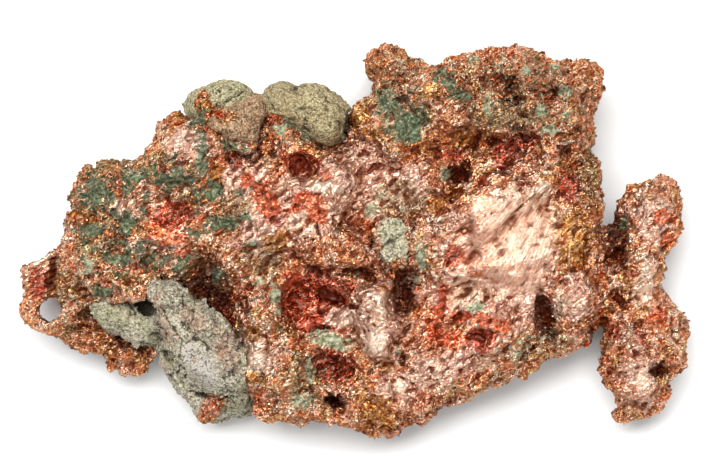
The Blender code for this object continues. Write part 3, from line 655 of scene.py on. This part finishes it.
# %% Stone relief
STONE_VOXEL = 0.36
STONE_SPREAD = 0.35  # how far the skin swells into the gap, in mm
CRACK_WIDTH, CRACK_DEPTH = 0.55, 0.9
CRACKS = [
    (-34.4, -24, -33.6, -27.2), (-26.2, -27, -24.2, -30), (-33.2, -14.4, -32, -15.6),
    (-33, -30.2, -28.8, -31.6), (-28.8, -31.6, -24.4, -31), (-45.8, -10.6, -43.6, -14.6),
    (-25.4, 27.6, -22.4, 29.6), (-37.6, -14, -34.4, -20), (-34.4, -20, -35.2, -26.4),
    (-31.8, -19.4, -25.6, -21.4), (-24.6, -22.4, -23.6, -27.6),
]
BLOCK_FACE = (-29.8, -24.8, 5.8, 3.6, -42)  # the flat broken face of the large stone
BLOCK_RIDGE = [(-40.5, -8.8, -34, -13.4), (-34, -13.4, -27, -19),
               (-27, -19, -23.6, -28)]
BLOCK_FORMS = [
    # (x, y, half x, half y, turn, rise in mm)
    (-41.8, -12.8, 3.8, 2, -52, -3.2),  # the shadowed groove beside the spine
    (-38.8, -7.2, 2.2, 1.8, 0, -1.6),   # its worn top
    (-38.7, -10.8, 3.4, 1, -55, 1),     # the narrow spine
    (-37, -23, 2.2, 1.5, -45, -1.3),    # mossy dip
    (-28.5, -31.2, 5.6, 1, -10, -1.6),  # undercut of the flat face
    (-32.4, -17.6, 3.4, 1.1, -42, -1),  # between the nodules and the flat face
]


def risen(points, rows):
    """How far listed hollows and rises move each point, in mm."""
    return sum(rise * soft(patch(points, *ellipse), 0, 0.5) for *ellipse, rise in rows)


def stone_relief(points):
    """Chipped faces, nodules, a sandy grain, pits and cracks, in mm."""
    face = soft(patch(points, *BLOCK_FACE), -0.05, 0.2)
    ridge = lined(points, BLOCK_RIDGE, 3.4)
    rough = 1 - 0.9 * face
    chips = 0.46 * chipped(points, 5.5, 5) + (0.12 + 0.3 * ridge) * chipped(points, 1.9, 8)
    nodules = ridge * (1.1 * knob(points, 2.6, 3) + 0.5 * knob(points, 1.3, 6))
    grain = 0.10 * knob(points, 0.8, 4) + 0.10 * swell(points, 0.7, 9)
    pits = soft(swell(points, 1.1, 12), 0.35, 0.5)
    wavering = points + 0.5 * swell(points, 1.6, 14)[:, None]
    cracks = lined(wavering, CRACKS, CRACK_WIDTH)
    return (STONE_SPREAD + rough * (chips + nodules - 0.25 * pits) + grain
            - CRACK_DEPTH * cracks + 0.35 * ridge + risen(points, BLOCK_FORMS))


STONES = {
    # node: (name of the piece, slot, broken faces, how deep they cut, crumbs, size of a crumb)
    "matrix_block_lower_left":
        ("matrix_block_skin", "grey_rock", 9, 0.90, 3000, (1.1, 0.9, 0.8)),
    "matrix_pebble_top_left":
        ("matrix_pebble_top_left_skin", "olive_rock", 10, 0.88, 200, (0.6, 0.5, 0.3)),
    "matrix_pebble_top_middle":
        ("matrix_pebble_top_middle_skin", "brown_rock", 12, 0.84, 800, (1, 0.8, 0.6)),
    "matrix_pebble_top_right":
        ("matrix_pebble_top_right_skin", "olive_rock", 10, 0.90, 260, (0.6, 0.5, 0.3)),
    "matrix_chip_centre":
        ("matrix_chip_skin", "pale_rock", 4, 0.95, 160, (0.7, 0.6, 0.4)),
}
stones = {}
for number, (cad_name, (name, _, planes, share, *_)) in enumerate(STONES.items()):
    stone = fine_copy(cad_name, name)
    remeshed(stone, STONE_VOXEL)
    ironed(stone, 4)
    set_points(stone.data, shaved(get_points(stone.data), planes, share, number))
    if cad_name == "matrix_chip_centre":
        set_points(stone.data, cut_to_outline(get_points(stone.data)))
    raised(stone, stone_relief)
    thinned(stone, len(stone.data.polygons))
    stone.data.shade_smooth()
    stones[cad_name] = stone

# %% [markdown]
# ## Masks
# A material needs to know where it is: down in a crevice, up on a crest, or inside a patch
# where a film or a mineral has grown. Textures painted by hand would need an image. Here each
# mask is a number kept at every point of the mesh. The patches are the ellipses listed above,
# with ragged edges, and a crevice is where the skin lies below a smoothed copy of itself.

# %% Crevices and crests
def hollowness(mesh, rounds):
    """How far each point lies below the smoothed skin, in mm: positive in a hollow."""
    ends = edge_ends(mesh)
    points = get_points(mesh)
    smooth = points
    for _ in range(rounds):
        smooth = averaged(smooth, ends, 0.5)
    return ((smooth - points) * get_normals(mesh)).sum(axis=1)


# %% Masks kept on the mesh
def keep_mask(mesh, name, values):
    """Store one number for every point, for the materials to read."""
    mask = mesh.attributes.get(name) or mesh.attributes.new(name, "FLOAT", "POINT")
    mask.data.foreach_set("value", np.asarray(values, np.float32))


def read_mask(mesh, name):
    """The numbers of a mask."""
    return read(mesh.attributes[name].data, "value", 1).ravel()


# %% Masks of the copper
ZONES = {
    "green_zone": [(-42, 5, 19, 19), (9, 25, 8, 9)],
    "speck_zone": [(33, 29, 20, 12), (-12, -27, 11, 8), (-17, -8, 5, 12), (34, -23, 16, 6, 20),
                   (8, 30, 10, 12)],
}


def mask_copper(mesh):
    """Every mask that the copper's material reads."""
    points, normals = get_points(mesh), get_normals(mesh)
    ragged = wandered(points)
    facing_up = soft(normals[:, 2], -0.2, 0.3) * soft(points[:, 2], 4, 8)
    for name, rows in PATCHES.items():
        value = nearest_patch(ragged, rows)
        keep_mask(mesh, name, np.where(value > 0, value * facing_up, value))
    smooth = smoothness(points)
    across, along = fan(points)
    masks = {
        "crevice": hollowness(mesh, 4) / 0.16, "valley": hollowness(mesh, 40) / 0.7,
        "smooth": smooth, "flank": 1 - soft(normals[:, 2], -0.1, 0.45),
        "fan_across": across * 80, "fan_along": along / 5,
        "sheet": soft(nearest_patch(ragged, [SHEET]), 0, 0.35) * facing_up,
    }
    for name, rows in ZONES.items():
        masks[name] = soft(nearest_patch(points, rows), 0, 0.4) * (1 - smooth)
    for name, values in masks.items():
        keep_mask(mesh, name, values)


mask_copper(copper.data)
MASKS = [mask.name for mask in copper.data.attributes if mask.data_type == "FLOAT"]
print("masks on the copper:", MASKS)

# %% [markdown]
# ## Crystals on the skin
# Torn native copper is a mass of small crystals: bent ridges where it was torn, and stubby
# lumps where it grew free. They are what glitters, so they are real pieces, since particles or
# instances would be lost in an export. Thousands of copies of one twelve-sided spindle are
# stretched, bent and half sunk in the skin by a few lines of array arithmetic, and joined in a
# few meshes. Each crystal takes over the masks of the skin that it stands on.

# %% One spindle
# Two pointed ends, and two three-sided sections between them: (along, across, up).
SPINDLE_POINTS = np.array([
    (-1, 0, -0.2), (-0.4, -0.5, -0.4), (-0.4, 0.5, -0.4), (-0.4, 0, 0.5),
    (0.4, -0.5, -0.4), (0.4, 0.5, -0.4), (0.4, 0, 0.5), (1, 0, -0.2),
])
SPINDLE_FACES = np.array([
    (1, 4, 6), (1, 6, 3), (5, 2, 3), (5, 3, 6), (1, 2, 5), (1, 5, 4),
    (0, 1, 3), (0, 3, 2), (0, 2, 1), (4, 7, 6), (7, 5, 6), (7, 4, 5),
])
UNEVEN = 0.16      # how far a spindle's points stray
STEEP_LOSS = 0.45  # how much smaller crystals are on steep sides


# %% Strew crystals over a skin
def unit(vectors):
    """The same directions, each of length 1."""
    return vectors / np.linalg.norm(vectors, axis=1)[:, None]


def metal_run(points):
    """Which way the torn metal runs at each point, seen from above."""
    turn = RUN + 1.9 * swell(points, 12, 60)
    return np.stack([np.cos(turn), np.sin(turn), np.zeros(len(points))], axis=1)


def strewn(name, skin, count, size, spread, density, lean, seed):
    """Half-sunk crystals joined in one piece. size is their (length, width, height) in mm."""
    rng = np.random.default_rng(seed)
    points, normals, corners = get_points(skin), get_normals(skin), get_corners(skin)
    a, b, c = (points[corners[:, k]] for k in range(3))
    weight = np.linalg.norm(np.cross(b - a, c - a), axis=1) * density[corners[:, 0]]
    chosen = rng.choice(len(corners), count, p=weight / weight.sum())
    base = corners[chosen, 0]
    across_face = rng.dirichlet((1, 1, 1), count)[:, :, None]
    place = (points[corners[chosen]] * across_face).sum(axis=1)
    up = unit(normals[base] + rng.normal(0, lean, (count, 3)))
    run = metal_run(place) + rng.normal(0, 0.45, (count, 3))
    along = unit(run - (run * up).sum(axis=1)[:, None] * up)
    axes = np.stack([along, np.cross(up, along), up], axis=1)
    scale = rng.uniform(1 - spread, 1 + spread, (count, 1, 3)) * np.array(size) / (2, 1, 1)
    steep = 1 - soft(np.abs(normals[base, 2]), 0.1, 0.6)
    scale *= (1 - STEEP_LOSS * steep)[:, None, None]
    shape = SPINDLE_POINTS + rng.uniform(-UNEVEN, UNEVEN, (count, *SPINDLE_POINTS.shape))
    shape[:, 1:7, 1] += np.repeat(rng.uniform(-0.5, 0.5, (count, 2)), 3, axis=1)
    crystals = place[:, None, :] + (shape * scale) @ axes

    mesh = bpy.data.meshes.new(name)
    first = np.arange(count)[:, None, None] * len(SPINDLE_POINTS)
    faces = (SPINDLE_FACES + first).reshape(-1, 3)
    mesh.from_pydata((kept_in(crystals.reshape(-1, 3)) * MM).tolist(), [], faces.tolist())
    for mask in [m.name for m in skin.attributes if m.data_type == "FLOAT"]:
        keep_mask(mesh, mask, np.repeat(read_mask(skin, mask)[base], len(SPINDLE_POINTS)))
    # painted shade: the crevice mask rises towards a crystal's sunk foot and falls at its top, so
    # the foot is darker
    height = SPINDLE_POINTS[:, 2]
    keep_mask(mesh, "crevice", 0.3 * read_mask(mesh, "crevice") - 0.6 * np.tile(height, count))
    print(name, "has", len(faces), "faces")
    return placed(name, mesh)


# %% Crystals of the copper
def crystals_of_copper(skin):
    """Torn ridges on the upper side and below, and lumps where the copper is knobbly."""
    points, normals = get_points(skin), get_normals(skin)
    knobbly = knobbliness(points)
    upper = soft(normals[:, 2], -0.25, 0.15)
    torn = (1 - smoothness(points)) * (1 - 0.9 * strap_share(points))
    torn *= 0.25 + soft(swell(points, 5, 70), -0.3, 0.3)
    torn *= 1 - 0.55 * soft(nearest_patch(wandered(points), PINK), -0.05, 0.25)
    return [
        strewn("copper_torn_ridges", skin, 11000, (1.15, 0.38, 0.33), 0.45,
               upper * torn * (1 - 0.4 * knobbly), 0.30, 1),
        strewn("copper_lumps", skin, 9000, (1.20, 0.80, 0.38), 0.45,
               upper * torn * knobbly, 0.55, 2),
        strewn("copper_underside_ridges", skin, 8000, (1.7, 0.75, 0.60), 0.35,
               1 - upper, 0.35, 3),
    ]


copper_crystals = crystals_of_copper(copper.data)

# %% [markdown]
# ## Native copper
# What one sees is metal with thin films on it. Bare copper is salmon pink; air turns it brown,
# and a red oxide film, cuprite, lies over it like lacquer, thinning to orange and gold. All of
# these stay metallic. Malachite is a matt green crust, not metal at all. So there is one
# material with one shader, and masks choose its colour, metallic value and roughness.
# The torn surface is a net of sharp ridges about a millimetre apart. The same noise makes the
# bump and drives the colours: the ridges are lighter, partly as rubbed metal and partly as a
# painted highlight, while films and crusts stay between them.

# %% Building blocks of a material
def mixed(share, a, b, blend="MIX"):
    """The colour a where share is 0 and b where it is 1."""
    made = node("Mix", {"data_type": "RGBA", "blend_type": blend}, i0=share, i6=a, i7=b)
    return made.outputs[2]


def ramp(value, low, high, to_low=0, to_high=1):
    """A number moved from the range low..high to to_low..to_high, and held there."""
    return node("MapRange", {"clamp": True}, Value=value, From_Min=low, From_Max=high,
                To_Min=to_low, To_Max=to_high).outputs["Result"]


def maths(kind, a, b):
    """A number worked out from two others."""
    return node("Math", {"operation": kind}, i0=a, i1=b).outputs["Value"]


def plus(a, b):
    """a plus b."""
    return maths("ADD", a, b)


def times(a, b):
    """a times b."""
    return maths("MULTIPLY", a, b)


def larger(a, b):
    """The larger of a and b."""
    return maths("MAXIMUM", a, b)


def arrow(kind, a, b=(0, 0, 0)):
    """A sum of two vectors, or a vector scaled by a number."""
    second = {"Scale": b} if kind == "SCALE" else {"i1": b}
    return node("VectorMath", {"operation": kind}, i0=a, **second).outputs["Vector"]


def attribute(name):
    """A mask that the mesh carries."""
    return node("Attribute", {"attribute_name": name}).outputs["Fac"]


def spot(shift):
    """The point on the object, moved a little so that no two noises match."""
    place = node("TexCoord").outputs["Object"]
    return arrow("ADD", place, (shift * MM, 0.7 * shift * MM, 0))


def cloud(size, detail, shift=0):
    """Noise from 0 to 1 with blobs about `size` mm across."""
    return node("TexNoise", Vector=spot(shift), Scale=1 / (size * MM), Detail=detail,
                Roughness=0.6).outputs["Fac"]


def grains(size):
    """Crystal grains: (distance from the middle, a random colour for each grain)."""
    made = node("TexVoronoi", {"feature": "F1"}, Vector=spot(0), Scale=1 / (size * MM),
                Randomness=1)
    return made.outputs["Distance"], made.outputs["Color"]


def torn(size, shift):
    """A net of sharp torn ridges about `size` mm apart: 0 between them, 1 on top."""
    drawn = node("Mapping", {"vector_type": "TEXTURE"}, Vector=spot(shift),
                 Rotation=(0, 0, RUN), Scale=(1.9, 0.9, 1))
    made = node("TexNoise", {"noise_type": "RIDGED_MULTIFRACTAL"},
                Vector=drawn.outputs["Vector"], Scale=1 / (size * MM), Detail=3,
                Roughness=0.6, Lacunarity=2.1, Offset=0.9, Gain=1.8, Distortion=0.9)
    return ramp(made.outputs["Fac"], 0.4, 1.7)


def silk():
    """Fine streaks that fan out over the sheet, from 0 to 1."""
    place = node("CombineXYZ", X=attribute("fan_across"), Y=attribute("fan_along"))
    return node("TexNoise", Vector=place.outputs["Vector"], Scale=1, Detail=3, Roughness=0.7,
                Distortion=0.3).outputs["Fac"]


# %% Films and layers of colour
TINT = {
    "salmon": "#F8BEA0", "copper": "#F0A06A", "tan": "#E8BA7E", "pale": "#FDE2CC",
    "rust": "#D8743A", "brown": "#BE8048", "pink": "#FCD6C2", "gold": "#D29038",
    "red": "#C4481E", "orange": "#EE7848", "painted_highlight": "#FFE9D2", "rubbed_and_highlit": "#FFE4CE",
    "deep": "#641F07", "dark": "#541A08", "flank": "#743818", "olive": "#9A9464",
    "sheet": "#F8D0B6", "streak": "#DA9274", "dark green": "#2F533E",
    "light green": "#9CB28C", "moss": "#728660", "cream": "#E0E4C4",
}


def beaten(share, chance):
    """1 where the share is larger than the chance, with a narrow soft edge."""
    return ramp(maths("SUBTRACT", share, chance), -0.12, 0.12)


def stippled(name, chance, size, wander, low=-0.12, high=0.25, shift=0):
    """A patch whose edge is torn by noise and broken up by the ridges and grains."""
    drift = ramp(cloud(size, 4, shift), 0.25, 0.75, -wander, wander)
    return beaten(ramp(plus(attribute(name), drift), low, high), chance)


def shades(share, name, other):
    """From one colour of the table, where share is 0, to another, where it is 1."""
    return mixed(share, linear(TINT[name]), linear(TINT[other]))


def layered(colour, layers):
    """Lay colours over a colour. A layer is (where it lies, a hex colour or a name in TINT)."""
    for share, tint in layers:
        colour = mixed(share, colour, linear(TINT.get(tint, tint)))
    return colour


# %% Native copper material
RIDGE = 1.1  # from one torn ridge to the next, in mm
RIDGE_HEIGHT = 0.30
SILK_HEIGHT = 0.25
CRYSTAL = 0.36  # crystal faces, drawn coarse enough to show, in mm
CRYSTAL_TILT = 0.40
DRIFTS = [
    # (colour, size in mm, detail and shift of the noise, where it starts and ends, strength)
    ("tan", 5, 4, 40, 0.53, 0.60, 1), ("pale", 3.5, 4, 70, 0.53, 0.60, 1),
    ("rust", 3, 5, 90, 0.56, 0.61, 0.75), ("orange", 4.5, 5, 130, 0.58, 0.62, 0.7),
]


def native_copper():
    """Bare, filmed and crusted copper in one shader."""
    shader = start_material("native_copper")
    ridge = torn(RIDGE, 22)
    gap, lots = grains(CRYSTAL)
    draw = node("SeparateColor", Color=lots)
    tone_lot, film_lot, crust_lot = (draw.outputs[c] for c in ("Red", "Green", "Blue"))

    def chance(lot):
        """What a film has to beat: high on the ridges, and uneven from grain to grain."""
        return ramp(plus(times(ridge, 0.55), times(lot, 0.45)), 0.1, 0.9, 0.08, 0.92)

    film_chance, crust_chance = chance(film_lot), chance(crust_lot)

    # bare metal: salmon pink, coppery and tan areas that drift into each other
    colour = shades(ramp(cloud(8, 4), 0.42, 0.58), "salmon", "copper")
    colour = layered(colour, [
        (times(ramp(cloud(size, detail, shift), low, high), strength), name)
        for name, size, detail, shift, low, high, strength in DRIFTS])
    pink = stippled("pink", film_chance, 3, 0.5)
    painted_highlight = stippled("painted_highlight", film_chance, 2, 0.5)
    sheet = attribute("sheet")
    streak = silk()
    red = stippled("red", times(film_chance, 0.6), 2.6, 0.4)
    rubbed_and_highlit = ramp(plus(ridge, times(tone_lot, 0.3)), 0.60, 0.95)
    colour = layered(colour, [
        (times(ramp(crust_lot, 0.76, 0.80), 0.4), "tan"),
        (times(ramp(attribute("brown"), -0.2, 0.5), 0.55), "brown"),
        (times(pink, 0.75), "pink"),
        (times(stippled("olive", film_chance, 2.4, 0.6), 0.5), "olive"),
        # painted sheen: the sheet coloured paler
        (times(sheet, 0.85), "sheet"),
        # films
        (times(stippled("gold", film_chance, 2.4, 0.5), 0.85), "gold"),
        (times(red, 0.9), "red"),
        (times(stippled("orange", film_chance, 2, 0.4), 0.9), "orange"),
        # painted highlight and sheen: near white places, streaks on the sheet, and the ridges,
        # which are partly rubbed metal
        (times(painted_highlight, 0.85), "painted_highlight"),
        # painted sheen: darker and paler streaks across the sheet
        (times(times(sheet, ramp(streak, 0.56, 0.42)), 0.75), "streak"),
        # the ridges: partly rubbed metal, partly a painted highlight
        (times(rubbed_and_highlit, 0.55), "rubbed_and_highlit"),
    ])

    # some crystals are tarnished and the copper is darker between the ridges; then painted shade:
    # darker in valleys and crevices, over the dark hollows and on steep sides
    tarnish_and_shade = ramp(plus(ridge, times(tone_lot, 0.5)), 0.10, 0.58, 0.50, 1)
    worn = larger(attribute("smooth"), ramp(attribute("pink"), -0.1, 0.3))
    tarnish_and_shade = times(larger(tarnish_and_shade, times(worn, 0.94)),
                    ramp(attribute("valley"), 0.1, 1.1, 1, 0.56))
    dim = node("CombineColor", Red=tarnish_and_shade, Green=maths("POWER", tarnish_and_shade, 1.6),
               Blue=maths("POWER", tarnish_and_shade, 2.1)).outputs["Color"]
    # painted shade: darker in crevices
    deep = ramp(attribute("crevice"), 0.1, 1.2)
    # painted shade: steep sides darker
    flank = attribute("flank")
    # painted shade: dark over the hollows, with wandering edges
    wander = ramp(cloud(1.6, 4, 55), 0.3, 0.7, -0.25, 0.25)
    dark = ramp(plus(attribute("dark"), wander), -0.05, 0.35)
    colour = layered(mixed(1, colour, dim, "MULTIPLY"), [
        (times(deep, 0.8), "deep"), (times(dark, 0.78), "dark"),
        (times(flank, 0.8), "flank")])

    # malachite, in shades that change from blotch to blotch and from grain to grain
    def scattered(zone, size, low, high, shift):
        """Crust in blobs about `size` mm across, inside a zone."""
        inside = ramp(attribute(zone), 0, 1, -1, 0)
        return beaten(plus(ramp(cloud(size, 4, shift), low, high), inside), crust_chance)

    green = larger(scattered("green_zone", 2.6, 0.46, 0.66, 7),
                   stippled("green", crust_chance, 1.5, 0.8, shift=12))
    pale = larger(scattered("speck_zone", 1, 0.54, 0.68, 18),
                  stippled("pale_green", crust_chance, 1, 0.9, -0.1, 0.45, 25))
    blotch = ramp(cloud(0.9, 4, 3), 0.40, 0.60)
    malachite = mixed(pale, shades(blotch, "dark green", "light green"),
                      shades(blotch, "moss", "cream"))
    speckle = times(ramp(tone_lot, 0, 1, 0.45, 1), ramp(ridge, 0, 0.6, 0.5, 1))
    speckle = larger(speckle, times(pale, 0.75))
    speckled = node("CombineColor", Red=speckle, Green=speckle, Blue=speckle)
    malachite = mixed(1, malachite, speckled.outputs["Color"], "MULTIPLY")
    crust = times(larger(green, pale), 0.92)

    rough = ramp(cloud(1, 2, 15), 0.3, 0.7, 0.18, 0.36)
    for share, more in ((painted_highlight, 0.14), (pink, 0.08), (deep, 0.2), (flank, 0.2), (sheet, 0.16)):
        rough = plus(rough, times(share, more))

    # the ridges as a bump, and a small random tilt for each crystal
    calm = ramp(attribute("smooth"), 0, 1, 1, 0.35)
    tilt = arrow("SCALE", arrow("SUBTRACT", lots, (0.5, 0.5, 0.5)), 2 * CRYSTAL_TILT)
    bump = node("Bump", Strength=calm, Distance=RIDGE_HEIGHT * MM, Height=ridge)
    bump = node("Bump", Strength=sheet, Distance=SILK_HEIGHT * MM, Height=streak,
                Normal=bump.outputs["Normal"])
    normal = arrow("NORMALIZE", arrow("ADD", bump.outputs["Normal"], arrow("SCALE", tilt, calm)))
    wire(shader, Base_Color=mixed(crust, colour, malachite), Normal=normal,
         Metallic=maths("SUBTRACT", 1, crust), Roughness=larger(rough, times(crust, 0.85)),
         Coat_Weight=times(red, 0.25), Coat_Roughness=0.15,
         Specular_Tint=linear("#B98A6C"))  # keeps the rims coppery
    return material


copper_metal = native_copper()
for piece in [copper, *copper_crystals]:
    piece.data.materials.append(copper_metal)
print("nodes in native_copper:", len(copper_metal.node_tree.nodes))

# %% [markdown]
# ## Rock
# The rock is fine and granular, greyish green from epidote, with grains of a few tenths of a
# millimetre, dark specks and rusty stains. One function makes each stone's material from
# three grain colours and a stain.

# %% Granular rock material
GRAIN = 0.34  # real grains are finer; this is what shows


def granular_rock(name, light, middle, shadow, stain, stain_share, tints=()):
    """Matt speckled rock in three grain colours, with a stain in patches and tinted places."""
    shader = start_material(name)
    gap, lots = grains(GRAIN)
    draw = node("SeparateColor", Color=lots)
    layers = [(ramp(draw.outputs["Red"], 0.2, 0.8), light),
              (times(ramp(cloud(5, 5), 0.36, 0.64), 0.4), middle)]
    for mask, tint, strength in tints:
        place = stippled(mask, draw.outputs["Blue"], 2, 0.5, -0.2, 0.6)
        layers.append((times(place, strength), tint))
    specks = plus(draw.outputs["Green"], ramp(cloud(3, 3, 5), 0.3, 0.7, 0, 0.14))
    layers += [
        (ramp(specks, 0.91, 0.97, 0, 0.75), shadow),
        (ramp(gap, 0.4, 0.8, 0, 0.35), shadow),
        (ramp(cloud(2.6, 5, 33), 0.70 - 0.2 * stain_share, 0.74, 0, 0.6), stain),
        # painted shade: darker in crevices and in valleys
        (ramp(attribute("crevice"), 0.05, 1, 0, 0.85), shadow),
        (ramp(attribute("valley"), 0.1, 1.3, 0, 0.85), shadow),
    ]
    sand = node("Bump", Strength=1, Distance=0.18 * MM, Height=ramp(gap, 0, 0.8, 1, 0))
    wire(shader, Base_Color=layered(linear(middle), layers), Normal=sand.outputs["Normal"],
         Roughness=0.85, Specular_IOR_Level=0.3)
    return material


# %% Rock, crumbs and masks of each stone
BLOCK_TINTS = [("face", "#C2BAB2", 0.8), ("blush", "#CBA28C", 0.55), ("moss", "#96966E", 0.6)]
BLOCK_PLACES = {
    # mask of the large stone: ellipses seen from above
    "face": [BLOCK_FACE],
    "blush": [(-37.4, -18, 1.8, 3.4, 20), (-32, -15.5, 3.6, 2.2, -40),
              (-25.5, -21.5, 2.2, 5.4, 20), (-39, -12, 1.2, 2.4)],
    "moss": [(-48, -14.5, 5.6, 3), (-36.2, -24, 1.4, 1.4), (-24, -33, 6, 1.8),
             (-40.5, -19, 1.6, 3, 30)],
}
ROCKS = {
    # node: (name, light, middle, shadow, stain, share of stain)
    "matrix_block_lower_left": ("grey_rock", "#DED6C0", "#A09880", "#403826", "#A86A48", 0.5,
                                BLOCK_TINTS),
    "matrix_pebble_top_left": ("olive_rock", "#D6CCA6", "#948C68", "#3A3222", "#8A5A34", 0.4),
    "matrix_pebble_top_middle": ("brown_rock", "#CDAE8C", "#9C7C5C", "#4A3422", "#96502C", 0.6),
    "matrix_pebble_top_right": ("olive_grey_rock", "#D0C298", "#907F5C", "#3C3424", "#8A6644",
                                0.5),
    "matrix_chip_centre": ("pale_rock", "#DCD2B4", "#9A957A", "#3E3A2C", "#8A6C4A", 0.5),
}
crumbs = {}
for number, (cad_name, stone) in enumerate(stones.items()):
    name, _, _, _, count, size = STONES[cad_name]
    points = get_points(stone.data)
    keep_mask(stone.data, "crevice", hollowness(stone.data, 5) / 0.16)
    keep_mask(stone.data, "valley", hollowness(stone.data, 40) / 0.7)
    where = np.full(len(points), 0.4)
    if cad_name == "matrix_block_lower_left":
        for mask, rows in BLOCK_PLACES.items():
            keep_mask(stone.data, mask, nearest_patch(points, rows))
        on_face = patch(points, *BLOCK_FACE) > 0
        where = 0.2 + 2 * lined(points, BLOCK_RIDGE, 3.6) - 0.19 * on_face
    crumbs[cad_name] = strewn(name + "_crumbs", stone.data, count, size, 0.5, where, 0.5,
                              10 + number)
    rock = granular_rock(*ROCKS[cad_name])
    for piece in (stone, crumbs[cad_name]):
        piece.data.materials.append(rock)

# %% Copper that has grown on the stones
GROWTHS = [
    # (stone, number of crystals, ellipse seen from above)
    ("matrix_block_lower_left", 420, (-28.6, -33.4, 1.7, 3.6, -35)),
    ("matrix_pebble_top_left", 160, (-30.2, 27.2, 1.2, 2.6)),
    ("matrix_pebble_top_middle", 220, (-26, 25, 3, 1.1, -15)),
    ("matrix_pebble_top_middle", 160, (-22, 18.8, 2.6, 0.9)),
    ("matrix_pebble_top_right", 420, (-14.6, 22.4, 5.6, 2, -32)),
    ("matrix_chip_centre", 70, (4.6, 0.8, 1, 3.4)),
    ("matrix_chip_centre", 60, (8.8, -4.4, 2.4, 1)),
]
for number, (cad_name, count, ellipse) in enumerate(GROWTHS):
    skin = stones[cad_name].data
    place = soft(patch(get_points(skin), *ellipse), 0, 0.3) * (get_normals(skin)[:, 2] > -0.3)
    growth = strewn("copper_growth_" + str(number + 1), skin, count, (1.3, 0.9, 0.9), 0.5,
                    place, 0.6, 20 + number)
    mask_copper(growth.data)
    growth.data.materials.append(copper_metal)
    copper_crystals.append(growth)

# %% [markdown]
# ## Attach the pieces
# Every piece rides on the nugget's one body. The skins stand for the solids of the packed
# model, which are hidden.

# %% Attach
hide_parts("copper_mass")
for piece in [copper, *copper_crystals]:
    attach(piece, "root")
for cad_name, stone in stones.items():
    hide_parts(cad_name)
    for piece in (stone, crumbs[cad_name]):
        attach(piece, "root")
